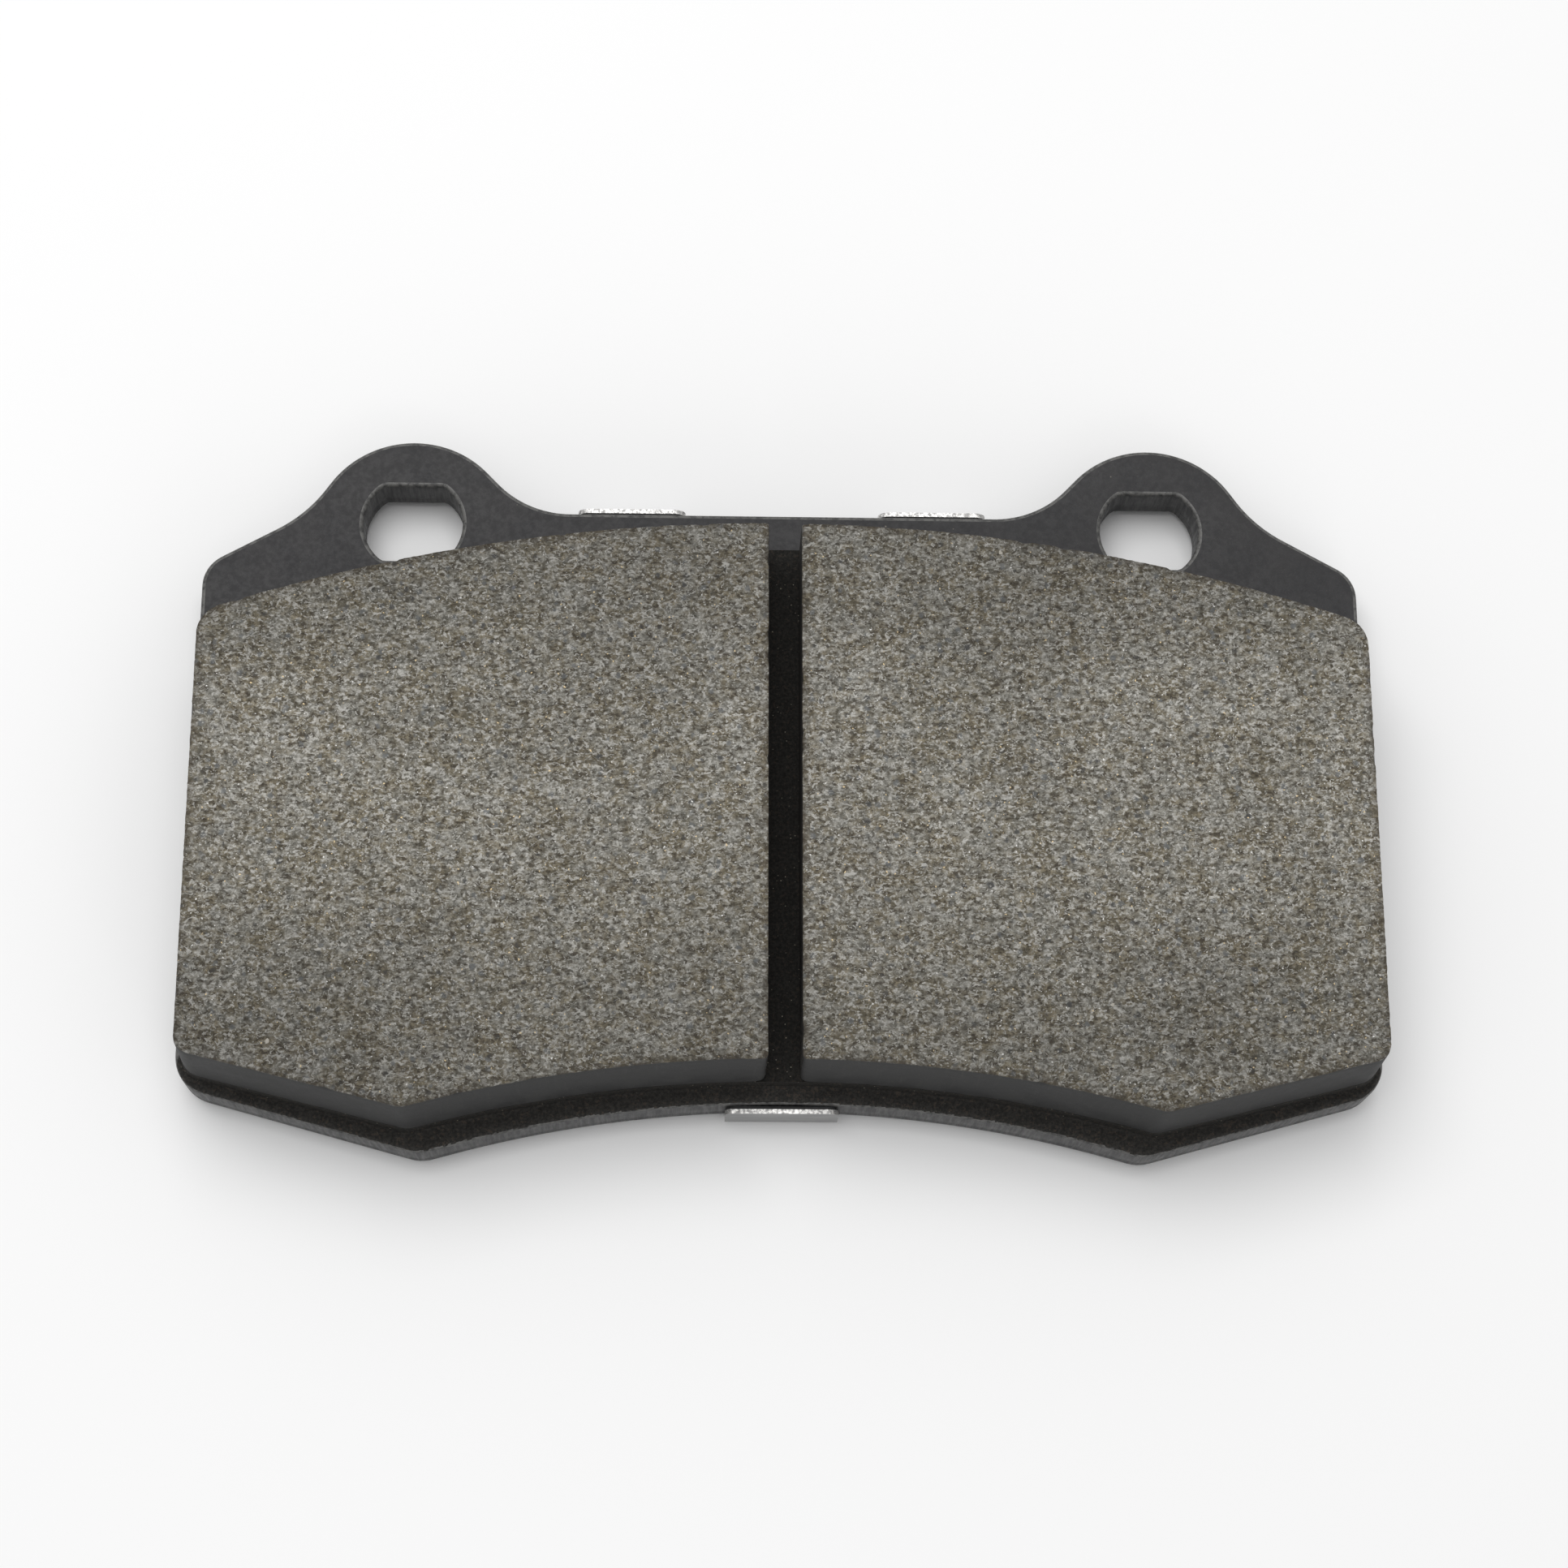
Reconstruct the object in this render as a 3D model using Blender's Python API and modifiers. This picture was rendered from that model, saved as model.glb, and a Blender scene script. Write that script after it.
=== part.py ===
"""Brake pad for a fixed four-piston caliper.

A blanked steel backing plate with two ears carries, on its front, an insulating underlayer and a
friction block moulded in two halves with a slot between them. On its back lies a damping shim:
a steel sheet with three tabs folded over the plate's edge, a rubber layer and an adhesive film.

Frame: metres, +X along the pad's width, +Y towards the ears, +Z the way the friction face looks.
The origin is under the middle of the pad's box, on the plane of the shim's back.
"""
import math

import bmesh
import bpy
from mathutils import Vector

MM = 0.001                      # every dimension below is in millimetres and is scaled once
SAGITTA = 0.04                  # how far a facet may cut inside its arc

# ---- heights of the stack, from the shim's back to the friction face
SHIM_THICK = 0.5
RUBBER_THICK = 0.25
FILM_THICK = 0.15
LAYER_GAP = 0.1                 # between the shim's thin bonded layers
PLATE_THICK = 5.0
UNDERLAYER_THICK = 1.2
PIECE_GAP = 0.3                 # between the plate, the underlayer and the friction block
FACE_ABOVE_PLATE = 11.2         # friction face over the plate's front

RUBBER_Z = SHIM_THICK + LAYER_GAP
FILM_Z = RUBBER_Z + RUBBER_THICK + LAYER_GAP
PLATE_Z = FILM_Z + FILM_THICK + LAYER_GAP
PLATE_FRONT_Z = PLATE_Z + PLATE_THICK
UNDERLAYER_Z = PLATE_FRONT_Z + PIECE_GAP
FRICTION_Z = UNDERLAYER_Z + UNDERLAYER_THICK + PIECE_GAP
FACE_Z = PLATE_FRONT_Z + FACE_ABOVE_PLATE

# ---- backing plate: rounds of its outline as (x, y, radius), clockwise from the top middle.
# A radius below zero is a hollow, whose centre lies outside the plate.
EAR = (42.1, 32.9, 11.4)
LOWER_HOLLOW = (0.0, -166.55, -134.0)
PLATE_HALF = [
    (24.2, 47.16, -11.4),       # hollow between the straight top edge and the ear
    EAR,
    (65.1, 47.1, -15.6),        # hollow between the ear and the sloping shoulder
    (61.55, 26.6, 4.0),         # shoulder corner
    (61.15, -27.65, 4.4),       # lower side corner
    (39.0, -33.64, 4.5),        # low tip
    LOWER_HOLLOW,
]

# ---- pin holes in the ears: a circle with a flat above and a flat below
PIN_HOLE_PLACE = (42.05, 34.3)
PIN_HOLE_RADIUS = 5.625
PIN_HOLE_HALF_HEIGHT = 4.5
PIN_HOLE_CORNER = 0.8

# ---- friction block at its face; its outer sides grow by DRAFT towards the plate
SLOT_WIDTH = 3.6
DRAFT = 0.45
FACE_TOP = (0.0, -159.6, 190.0)
FACE_BOTTOM = (0.0, -180.0, -150.0)
FACE_SIDES = [
    (60.65, 16.76, 3.5),        # upper side corner
    (62.15, -27.9, 2.0),        # lower side corner
    (40.18, -32.89, 2.5),       # low tip
]

# ---- moulding keys: the underlayer fills round holes through the plate
KEY_HOLE_RADIUS = 4.5
KEY_PLACES = [(-46.0, 4.0), (-18.0, -8.0), (18.0, -8.0), (46.0, 4.0)]
KEY_DEPTH = 4.4                 # a key stops short of the plate's back
KEY_SIDES = 24

# ---- shim: flat outline inside the plate's, and tabs folded over the plate's edge
SHIM_TOP = 33.2
SHIM_LOWER_HOLLOW = (0.0, -166.55, -136.2)
SHIM_SIDES = [
    (28.4, 31.0, 2.2),          # top corner, clear of the pin hole
    (36.0, 28.6, -3.6),         # hollow under the ear
    (59.0, 21.5, 3.5),          # shoulder corner
    (59.0, -26.4, 3.5),         # lower side corner
    (39.0, -31.9, 4.0),         # low tip
]
TAB_WIDTH = 12.3
TAB_CORNER = 0.9
TAB_ROOT_RELIEF = 0.7
TAB_BEND_RADIUS = 0.85          # to the middle of the sheet
TAB_BEND_STEPS = 4
TAB_TOP_Z = PLATE_FRONT_Z - 0.7
TOP_TAB_X = 17.2
TOP_TAB_FACE = 36.6             # outer face of the two upper tabs
LOWER_TAB_FACE = -33.5          # outer face of the lower tab
RUBBER_INSET = 0.3
FILM_INSET = 0.9

# The outline is drawn about the middle of the pad's width; this moves it to the middle of its box.
LOW_TIP = PLATE_HALF[-2]
MIDDLE_Y = (EAR[1] + EAR[2] + LOW_TIP[1] - LOW_TIP[2]) / 2


def clear_scene():
    for obj in list(bpy.data.objects):
        bpy.data.objects.remove(obj, do_unlink=True)


def collection(name):
    made = bpy.data.collections.new(name)
    bpy.context.scene.collection.children.link(made)
    return made


def material(name, colour, roughness, metallic=0.0):
    made = bpy.data.materials.new(name)
    made.use_nodes = True
    shader = made.node_tree.nodes["Principled BSDF"]
    shader.inputs["Base Color"].default_value = (*colour, 1.0)
    shader.inputs["Roughness"].default_value = roughness
    shader.inputs["Metallic"].default_value = metallic
    return made


def mirrored(half):
    """A closed list of rounds from its right half; a round on the middle line at either end is shared."""
    first = 1 if half[0][0] == 0 else 0
    last = len(half) - 1 if half[-1][0] == 0 else len(half)
    return half + [(-x, y, radius) for x, y, radius in reversed(half[first:last])]


def belt(rounds, grow=0.0):
    """Points of the line drawn clockwise around rounds (x, y, radius), like a belt on pulleys.

    A radius of 0 is a sharp corner and one below 0 is a hollow. Growing every radius by the same
    amount gives the parallel outline, with the same number of points.
    """
    normals = []
    for (x1, y1, r1), (x2, y2, r2) in zip(rounds, rounds[1:] + rounds[:1]):
        along = Vector((x2 - x1, y2 - y1))
        cosine = max(-1.0, min(1.0, (r1 - r2) / along.length))
        along.normalize()
        left = Vector((-along.y, along.x))
        normals.append(along * cosine + left * math.sqrt(1 - cosine * cosine))
    points = []
    for index, (x, y, radius) in enumerate(rounds):
        start = math.atan2(normals[index - 1].y, normals[index - 1].x)
        end = math.atan2(normals[index].y, normals[index].x)
        turn = (start - end) % math.tau if radius >= 0 else -((end - start) % math.tau)
        if abs(turn) > math.tau - 0.01:
            turn = 0.0
        steps = 0
        if radius and turn:
            facet = 2 * math.acos(1 - SAGITTA / max(abs(radius), 2 * SAGITTA))
            steps = max(1, math.ceil(abs(turn) / facet))
        for step in range(steps + 1):
            angle = start - turn * (step / steps if steps else 0)
            size = radius + grow
            points.append((x + size * math.cos(angle), y + size * math.sin(angle)))
    return points


def outline_mesh(name, outlines, thickness):
    """A flat 2D curve filled between its outlines, made a mesh of the given thickness from z = 0."""
    curve = bpy.data.curves.new(name, "CURVE")
    curve.dimensions = "2D"
    curve.fill_mode = "BOTH"
    curve.extrude = thickness * MM / 2
    for outline in outlines:
        spline = curve.splines.new("POLY")
        spline.points.add(len(outline) - 1)
        for point, (x, y) in zip(spline.points, outline):
            point.co = (x * MM, (y - MIDDLE_Y) * MM, 0, 1)
        spline.use_cyclic_u = True
    drawn = bpy.data.objects.new(name, curve)
    bpy.context.scene.collection.objects.link(drawn)
    drawn.location.z = thickness * MM / 2
    bpy.context.view_layer.update()
    evaluated = drawn.evaluated_get(bpy.context.evaluated_depsgraph_get())
    mesh = bpy.data.meshes.new_from_object(evaluated)
    mesh.transform(drawn.matrix_world)
    bpy.data.objects.remove(drawn)
    bpy.data.curves.remove(curve)
    work = bmesh.new()
    work.from_mesh(mesh)
    bmesh.ops.remove_doubles(work, verts=work.verts, dist=0.001 * MM)
    work.to_mesh(mesh)
    work.free()
    return mesh


def piece(name, mesh, bottom_z, look, into, parent):
    """A named object that stands at its height in the stack."""
    mesh.name = name
    mesh.materials.clear()
    mesh.materials.append(look)
    obj = bpy.data.objects.new(name, mesh)
    obj.location.z = bottom_z * MM
    obj.parent = parent
    into.objects.link(obj)
    return obj


def lofted_mesh(name, lower, upper, height):
    """A closed solid between two outlines with the same number of points."""
    mesh = bpy.data.meshes.new(name)
    work = bmesh.new()
    rings = []
    for outline, z in ((lower, 0.0), (upper, height)):
        rings.append([work.verts.new((x * MM, (y - MIDDLE_Y) * MM, z * MM)) for x, y in outline])
    work.faces.new(rings[0])
    work.faces.new(rings[1])
    for index in range(len(lower)):
        after = (index + 1) % len(lower)
        work.faces.new((rings[0][index], rings[0][after], rings[1][after], rings[1][index]))
    bmesh.ops.recalc_face_normals(work, faces=work.faces)
    work.to_mesh(mesh)
    work.free()
    return mesh


def pin_hole(side):
    """The double-D outline of one ear's pin hole; side is 1 on the right and -1 on the left."""
    x, y = side * PIN_HOLE_PLACE[0], PIN_HOLE_PLACE[1]
    rise = PIN_HOLE_HALF_HEIGHT - PIN_HOLE_CORNER
    run = math.sqrt((PIN_HOLE_RADIUS - PIN_HOLE_CORNER) ** 2 - rise ** 2)
    wall = (x, y, PIN_HOLE_RADIUS)
    corners = [(x + run, y + rise), (x + run, y - rise), (x - run, y - rise), (x - run, y + rise)]
    rounds = [(*corner, PIN_HOLE_CORNER) for corner in corners]
    return belt([rounds[0], wall, rounds[1], rounds[2], wall, rounds[3]])


def circle(x, y, radius):
    turns = [math.tau * step / KEY_SIDES for step in range(KEY_SIDES)]
    return [(x + radius * math.cos(turn), y + radius * math.sin(turn)) for turn in turns]


def make_backing_plate(into, parent):
    outlines = [belt(mirrored(PLATE_HALF)), pin_hole(-1), pin_hole(1)]
    outlines += [circle(x, y, KEY_HOLE_RADIUS) for x, y in KEY_PLACES]
    look = material("backing_plate_finish", (0.056, 0.054, 0.055), 0.62)
    mesh = outline_mesh("backing_plate", outlines, PLATE_THICK)
    return piece("backing_plate", mesh, PLATE_Z, look, into, parent)


def make_underlayer(into, cutters, parent):
    """A thin slab under both halves of the block, joined to keys that stand in the plate's holes."""
    rounds = mirrored([FACE_TOP, *FACE_SIDES, FACE_BOTTOM])
    look = material("underlayer_finish", (0.013, 0.012, 0.010), 0.85)
    mesh = outline_mesh("underlayer", [belt(rounds, DRAFT)], UNDERLAYER_THICK)
    slab = piece("underlayer", mesh, UNDERLAYER_Z, look, into, parent)
    top_of_key = UNDERLAYER_Z + UNDERLAYER_THICK / 2
    height = top_of_key - (PLATE_FRONT_Z - KEY_DEPTH)
    for index, (x, y) in enumerate(KEY_PLACES, start=1):
        bpy.ops.mesh.primitive_cylinder_add(
            vertices=KEY_SIDES,
            radius=(KEY_HOLE_RADIUS - PIECE_GAP) * MM,
            depth=height * MM,
            location=(x * MM, (y - MIDDLE_Y) * MM, (top_of_key - height / 2) * MM),
        )
        key = bpy.context.object
        key.name = f"key_{index}"
        key.hide_render = True
        key.display_type = "WIRE"
        for owner in list(key.users_collection):
            owner.objects.unlink(key)
        cutters.objects.link(key)
        join = slab.modifiers.new(key.name, "BOOLEAN")
        join.operation = "UNION"
        join.solver = "EXACT"
        join.object = key
    return slab


def make_friction_block(side, name, look, into, parent):
    """One half of the friction block; its sides lean out towards the plate, its slot wall is upright."""
    outlines = []
    for grow in (DRAFT, 0.0):
        inner = SLOT_WIDTH / 2 + grow
        top_y = FACE_TOP[1] + math.sqrt(FACE_TOP[2] ** 2 - inner ** 2)
        bottom_y = FACE_BOTTOM[1] + math.sqrt(FACE_BOTTOM[2] ** 2 - inner ** 2)
        rounds = [(inner, top_y, 0.0), FACE_TOP, *FACE_SIDES, FACE_BOTTOM, (inner, bottom_y, 0.0)]
        outlines.append([(side * x, y) for x, y in belt(rounds, grow)])
    mesh = lofted_mesh(name, outlines[0], outlines[1], FACE_Z - FRICTION_Z)
    return piece(name, mesh, FRICTION_Z, look, into, parent)


def tab_blank(x, root_y, end_y):
    """Rounds of a flat tab on an edge at root_y, for an outline that passes it clockwise."""
    up = 1 if end_y > root_y else -1
    half = TAB_WIDTH / 2
    root = half + TAB_ROOT_RELIEF
    end = half - TAB_CORNER
    rounds = []
    for across, y, radius in (
        (-root, root_y + up * TAB_ROOT_RELIEF, -TAB_ROOT_RELIEF),
        (-end, end_y - up * TAB_CORNER, TAB_CORNER),
        (end, end_y - up * TAB_CORNER, TAB_CORNER),
        (root, root_y + up * TAB_ROOT_RELIEF, -TAB_ROOT_RELIEF),
    ):
        rounds.append((x + up * across, y, radius))
    return rounds


def bend_line(tab_face):
    """The y where the sheet's middle starts to bend for an upright tab with this outer face."""
    outward = 1 if tab_face > 0 else -1
    return tab_face - outward * (SHIM_THICK / 2 + TAB_BEND_RADIUS)


def tab_length():
    """Length of a tab along the sheet's middle, from the start of its bend."""
    upright = TAB_TOP_Z - (SHIM_THICK / 2 + TAB_BEND_RADIUS)
    return TAB_BEND_RADIUS * math.pi / 2 + upright


def fold(work, tab_face, reach):
    """Cuts the flat sheet across one edge's bend, then turns up what lies within reach of x = 0."""
    outward = 1 if tab_face > 0 else -1
    start = bend_line(tab_face)
    bend_run = TAB_BEND_RADIUS * math.pi / 2
    for step in range(TAB_BEND_STEPS + 1):
        y = start + outward * bend_run * step / TAB_BEND_STEPS
        bmesh.ops.bisect_plane(
            work,
            geom=work.verts[:] + work.edges[:] + work.faces[:],
            plane_co=(0, (y - MIDDLE_Y) * MM, 0),
            plane_no=(0, 1, 0),
            dist=0.0001 * MM,
        )
    for vert in work.verts:
        past = outward * (vert.co.y / MM + MIDDLE_Y - start)
        if past <= 0 or abs(vert.co.x) / MM > reach:
            continue
        angle = min(past / TAB_BEND_RADIUS, math.pi / 2)
        out = TAB_BEND_RADIUS * math.sin(angle)
        rise = TAB_BEND_RADIUS * (1 - math.cos(angle)) + max(0.0, past - bend_run)
        vert.co.y = (start + outward * out - MIDDLE_Y) * MM
        vert.co.z += rise * MM


def make_shim_steel(into, parent):
    """The sheet blanked flat with its tabs, folded along three bend lines, then given its gauge."""
    end_top = bend_line(TOP_TAB_FACE) + tab_length()
    end_low = bend_line(LOWER_TAB_FACE) - tab_length()
    hollow_reach = -SHIM_LOWER_HOLLOW[2]
    low_root = SHIM_LOWER_HOLLOW[1] + math.sqrt(hollow_reach ** 2 - (TAB_WIDTH / 2) ** 2)
    upper_tab = tab_blank(TOP_TAB_X, SHIM_TOP, end_top)
    lower_tab = tab_blank(0.0, low_root, end_low)
    half = upper_tab + SHIM_SIDES + [SHIM_LOWER_HOLLOW] + lower_tab[:2]
    look = material("shim_steel_finish", (0.26, 0.26, 0.26), 0.45, 0.6)
    mesh = outline_mesh("shim_steel", [belt(mirrored(half))], 0.0)
    work = bmesh.new()
    work.from_mesh(mesh)
    fold(work, TOP_TAB_FACE, TOP_TAB_X + TAB_WIDTH)
    fold(work, LOWER_TAB_FACE, TAB_WIDTH)
    work.to_mesh(mesh)
    work.free()
    sheet = piece("shim_steel", mesh, SHIM_THICK / 2, look, into, parent)
    gauge = sheet.modifiers.new("gauge", "SOLIDIFY")
    gauge.thickness = SHIM_THICK * MM
    gauge.offset = 0.0
    gauge.use_even_offset = True
    return sheet


def make_shim_layer(name, inset, thickness, bottom_z, look, into, parent):
    """A flat layer of the shim without tabs, its outline drawn in by inset."""
    corner = (SHIM_SIDES[0][0], SHIM_TOP - SHIM_SIDES[0][2], SHIM_SIDES[0][2])
    rounds = mirrored([corner, *SHIM_SIDES[1:], SHIM_LOWER_HOLLOW])
    mesh = outline_mesh(name, [belt(rounds, -inset)], thickness)
    return piece(name, mesh, bottom_z, look, into, parent)


def main():
    clear_scene()
    pad = collection("brake_pad")
    cutters = collection("cutters")
    middle = bpy.data.objects.new("pad_middle", None)
    pad.objects.link(middle)

    make_backing_plate(pad, middle)
    make_underlayer(pad, cutters, middle)
    friction = material("friction_finish", (0.184, 0.176, 0.150), 0.9)
    for side, name in ((-1, "friction_block_left"), (1, "friction_block_right")):
        make_friction_block(side, name, friction, pad, middle)
    make_shim_steel(pad, middle)
    rubber = material("shim_rubber_finish", (0.018, 0.018, 0.018), 0.7)
    make_shim_layer("shim_rubber", RUBBER_INSET, RUBBER_THICK, RUBBER_Z, rubber, pad, middle)
    film = material("shim_film_finish", (0.30, 0.26, 0.18), 0.5)
    make_shim_layer("shim_adhesive_film", FILM_INSET, FILM_THICK, FILM_Z, film, pad, middle)


main()
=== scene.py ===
# %% [markdown]
# # A brake pad, finished as a maker would look at it
# The packed model brings the pad's real pieces at their real size: a blanked steel plate, an
# underlayer, two halves of friction material and a three-layer shim. This lesson keeps every size
# and gives each piece the surface it has in the hand: ground composite, powder coat, sheared steel.

# %% Load the frame
import math
from functools import lru_cache

import bmesh
import bpy
import numpy as np
from mathutils import Matrix, Vector
from mathutils.geometry import delaunay_2d_cdt


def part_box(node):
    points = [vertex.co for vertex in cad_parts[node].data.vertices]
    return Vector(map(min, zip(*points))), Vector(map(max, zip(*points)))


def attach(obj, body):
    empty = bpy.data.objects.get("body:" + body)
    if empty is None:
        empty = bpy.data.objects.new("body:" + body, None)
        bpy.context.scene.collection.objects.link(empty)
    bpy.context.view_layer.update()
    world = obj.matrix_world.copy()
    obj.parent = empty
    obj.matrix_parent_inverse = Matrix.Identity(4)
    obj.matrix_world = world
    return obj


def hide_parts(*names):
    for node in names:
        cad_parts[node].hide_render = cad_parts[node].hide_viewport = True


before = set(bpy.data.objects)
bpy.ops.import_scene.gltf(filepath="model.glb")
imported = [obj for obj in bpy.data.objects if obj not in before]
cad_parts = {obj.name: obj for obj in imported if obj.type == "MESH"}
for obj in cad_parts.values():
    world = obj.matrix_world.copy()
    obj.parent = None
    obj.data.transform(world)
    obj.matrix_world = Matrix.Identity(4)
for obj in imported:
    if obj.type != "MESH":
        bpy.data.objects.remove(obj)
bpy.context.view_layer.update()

BODY = "root"
MM = 0.001
print("nodes:", sorted(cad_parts))

# %% [markdown]
# ## Heights
# Every height comes from the boxes of the packed pieces, in millimetres. The packed solids keep
# small gaps so that they can be tested; on the real pad the layers are bonded, so here each gap
# is closed: a layer runs up to the start of the next.

# %% Heights of the stack
def low_and_high(node):
    low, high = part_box(node)
    return low.z / MM, high.z / MM


PLATE_BACK, PLATE_FRONT = low_and_high("backing_plate")
FACE = low_and_high("friction_block_left")[1]
LAYER_TOP = (low_and_high("underlayer")[1] + low_and_high("friction_block_left")[0]) / 2
FILM_BACK = (low_and_high("shim_rubber")[1] + low_and_high("shim_adhesive_film")[0]) / 2
TAB_END = low_and_high("shim_steel")[1]
EAR_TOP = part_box("backing_plate")[1].y / MM
print(f"plate {PLATE_BACK:.2f} to {PLATE_FRONT:.2f} mm")
print(f"underlayer to {LAYER_TOP:.2f} mm, ground face at {FACE:.2f} mm")

# %% [markdown]
# ## Outlines as lists of rounds
# Press tools are ground from straight lines and arcs, so a blanked outline is best drawn the same
# way. Each outline is a list of rounds, (x, y, radius) in millimetres, and the line runs around
# them like a belt round pulleys; a radius below zero is a hollow. Only the right half is listed,
# because a pad of this kind is the same on both sides.

# %% Rounds of the plate and its pin holes
EAR = (42.1, 32.9, 11.4)
MIDDLE_Y = EAR[1] + EAR[2] - EAR_TOP      # the drawing's y of the frame's middle
PLATE_HALF = [(24.2, 47.16, -11.4), EAR, (65.1, 47.1, -15.6), (61.55, 26.6, 4.0),
              (61.15, -27.65, 4.4), (39.0, -33.64, 4.5), (0.0, -166.55, -134.0)]
PIN_HOLE_PLACE = (42.05, 34.3)
PIN_HOLE_RADIUS, PIN_HOLE_HALF_HEIGHT, PIN_HOLE_CORNER = 5.625, 4.5, 0.8
print(f"ears of {EAR[2]} mm radius, pin holes {2 * PIN_HOLE_HALF_HEIGHT:.1f} mm high")

# %% Rounds of the friction block and of the slot's corners
BLOCK_TOP = (0.0, -159.6, 190.0)
BLOCK_BOTTOM = (0.0, -180.0, -150.0)
BLOCK_SIDES = [(60.65, 16.76, 3.5), (62.15, -27.9, 2.0), (40.18, -32.89, 2.5)]
SLOT_HALF = 1.8                  # half the slot's width
SLOT_TOP_ROUND, SLOT_LOW_ROUND = 0.2, 0.5
DRAFT = 0.45                     # how far the moulded sides widen from the face to the plate
print(f"slot {2 * SLOT_HALF:.1f} mm wide, sides drafted by {DRAFT} mm")

# %% Rounds of the shim's flat part
SHIM_TOP = 33.2
SHIM_SIDES = [(28.4, 31.0, 2.2), (36.0, 28.6, -3.6), (59.0, 21.5, 3.5), (59.0, -26.4, 3.5),
              (39.0, -31.9, 4.0)]
SHIM_LOWER_HOLLOW = (0.0, -166.55, -136.2)
print(f"the shim ends {SHIM_TOP - MIDDLE_Y:.1f} mm above the pad's middle")


# %% Mirror a half outline
def mirrored(half):
    """The whole list of rounds; a round on the middle line is used once."""
    first = 1 if half[0][0] == 0 else 0
    last = len(half) - 1 if half[-1][0] == 0 else len(half)
    return half + [(-x, y, radius) for x, y, radius in reversed(half[first:last])]


print(f"the plate's outline has {len(mirrored(PLATE_HALF))} rounds")

# %% [markdown]
# ## The belt around the rounds
# Between two rounds the belt is a straight line that touches both. Its direction follows from their
# distance and the difference of their radii. Blender's curves could draw the arcs, but plain points
# can also be spaced evenly, moved along their normals and joined to a next ring, so one outline
# serves the edge, its rounded rim and every parallel line inside it.

# %% Points of the belt
FACET = math.radians(4)          # no arc is drawn in coarser steps
FACET_LENGTH = 0.4               # nor in longer ones, in millimetres
SMALLEST_RADIUS = 0.1            # a tighter round is stepped as if it had this radius


def belt(rounds):
    """Closed clockwise line around the rounds, as an array of (x, y) in the frame's millimetres."""
    leaving = []
    for (x1, y1, r1), (x2, y2, r2) in zip(rounds, rounds[1:] + rounds[:1]):
        along = Vector((x2 - x1, y2 - y1))
        cosine = max(-1.0, min(1.0, (r1 - r2) / along.length))
        along.normalize()
        normal = along * cosine + Vector((-along.y, along.x)) * math.sqrt(1 - cosine * cosine)
        leaving.append(math.atan2(normal.y, normal.x))
    points = []
    for index, (x, y, radius) in enumerate(rounds):
        start, end = leaving[index - 1], leaving[index]
        turn = (start - end) % math.tau if radius >= 0 else -((end - start) % math.tau)
        turn = 0.0 if abs(turn) > math.tau - 0.01 else turn
        facet = min(FACET, FACET_LENGTH / max(abs(radius), SMALLEST_RADIUS))
        steps = math.ceil(abs(turn) / facet) if radius else 0
        for step in range(steps + 1):
            angle = start - turn * (step / steps if steps else 0)
            points.append((x + radius * math.cos(angle), y + radius * math.sin(angle) - MIDDLE_Y))
    return np.array(points)


print(f"the plate's outline is drawn with {len(belt(mirrored(PLATE_HALF)))} points")


# %% Space the points evenly and find their normals
def evenly(points, spacing):
    """The same closed line with evenly spaced points, and its outward normals."""
    closed = np.vstack([points, points[:1]])
    run = np.concatenate([[0], np.cumsum(np.hypot(*np.diff(closed, axis=0).T))])
    stops = np.linspace(0, run[-1], int(round(run[-1] / spacing)), endpoint=False)
    line = np.stack([np.interp(stops, run, closed[:, axis]) for axis in (0, 1)], 1)
    tangent = np.roll(line, -1, axis=0) - np.roll(line, 1, axis=0)
    tangent /= np.linalg.norm(tangent, axis=1)[:, None]
    return line, np.stack([-tangent[:, 1], tangent[:, 0]], 1)


spaced, outwards = evenly(belt(mirrored(PLATE_HALF)), 1.0)
print(f"at 1 mm apart it has {len(spaced)} points, and the first faces", np.round(outwards[0], 2))

# %% [markdown]
# ## Meshes from rings and filled faces
# A moulded or blanked piece is a stack of parallel rings with a filled face at each end. Rings are
# joined by quads. The faces are filled by a constrained Delaunay triangulation, which takes holes
# and loose points inside, so that a ground face can have a dense, uneven net where a plain n-gon
# would stay dead flat.

# %% Which points lie inside closed lines
def within(points, loops):
    """True for each point that an odd number of the loops goes around."""
    inside = np.zeros(len(points), bool)
    x, y = points[:, 0], points[:, 1]
    for loop in loops:
        for (x1, y1), (x2, y2) in zip(loop, np.roll(loop, -1, axis=0)):
            if y1 == y2:
                continue
            crosses = (y1 > y) != (y2 > y)
            inside ^= crosses & (x < x1 + (y - y1) * (x2 - x1) / (y2 - y1))
    return inside


on_plate = within(np.array([[0.0, 0.0], [0.0, 60.0]]), [belt(mirrored(PLATE_HALF))])
print("the plate goes around the pad's middle and a place 60 mm above it:", on_plate)


# %% Collect rings and walls
class Build:
    """Collects points in millimetres, and faces that each have a kind of finish."""

    def __init__(self):
        self.points, self.faces, self.kinds, self.count = [], [], [], 0

    def ring(self, line, height):
        """Adds a ring of points; height is one number or one for each point."""
        heights = np.broadcast_to(np.asarray(height, float), (len(line),))
        self.points.append(np.column_stack([line, heights]))
        first = self.count
        self.count += len(line)
        return np.arange(first, self.count)

    def wall(self, lower, upper, kind=0):
        quads = np.column_stack([lower, np.roll(lower, -1), np.roll(upper, -1), upper])
        self.faces += quads.tolist()
        self.kinds += np.broadcast_to(kind, len(quads)).tolist()

    def tube(self, rings, kind=0):
        """Joins rings into a closed body with flat ends."""
        for lower, upper in zip(rings, rings[1:]):
            self.wall(lower, upper, kind)
        self.faces += [rings[0].tolist(), rings[-1].tolist()[::-1]]
        self.kinds += [kind, kind]


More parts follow.
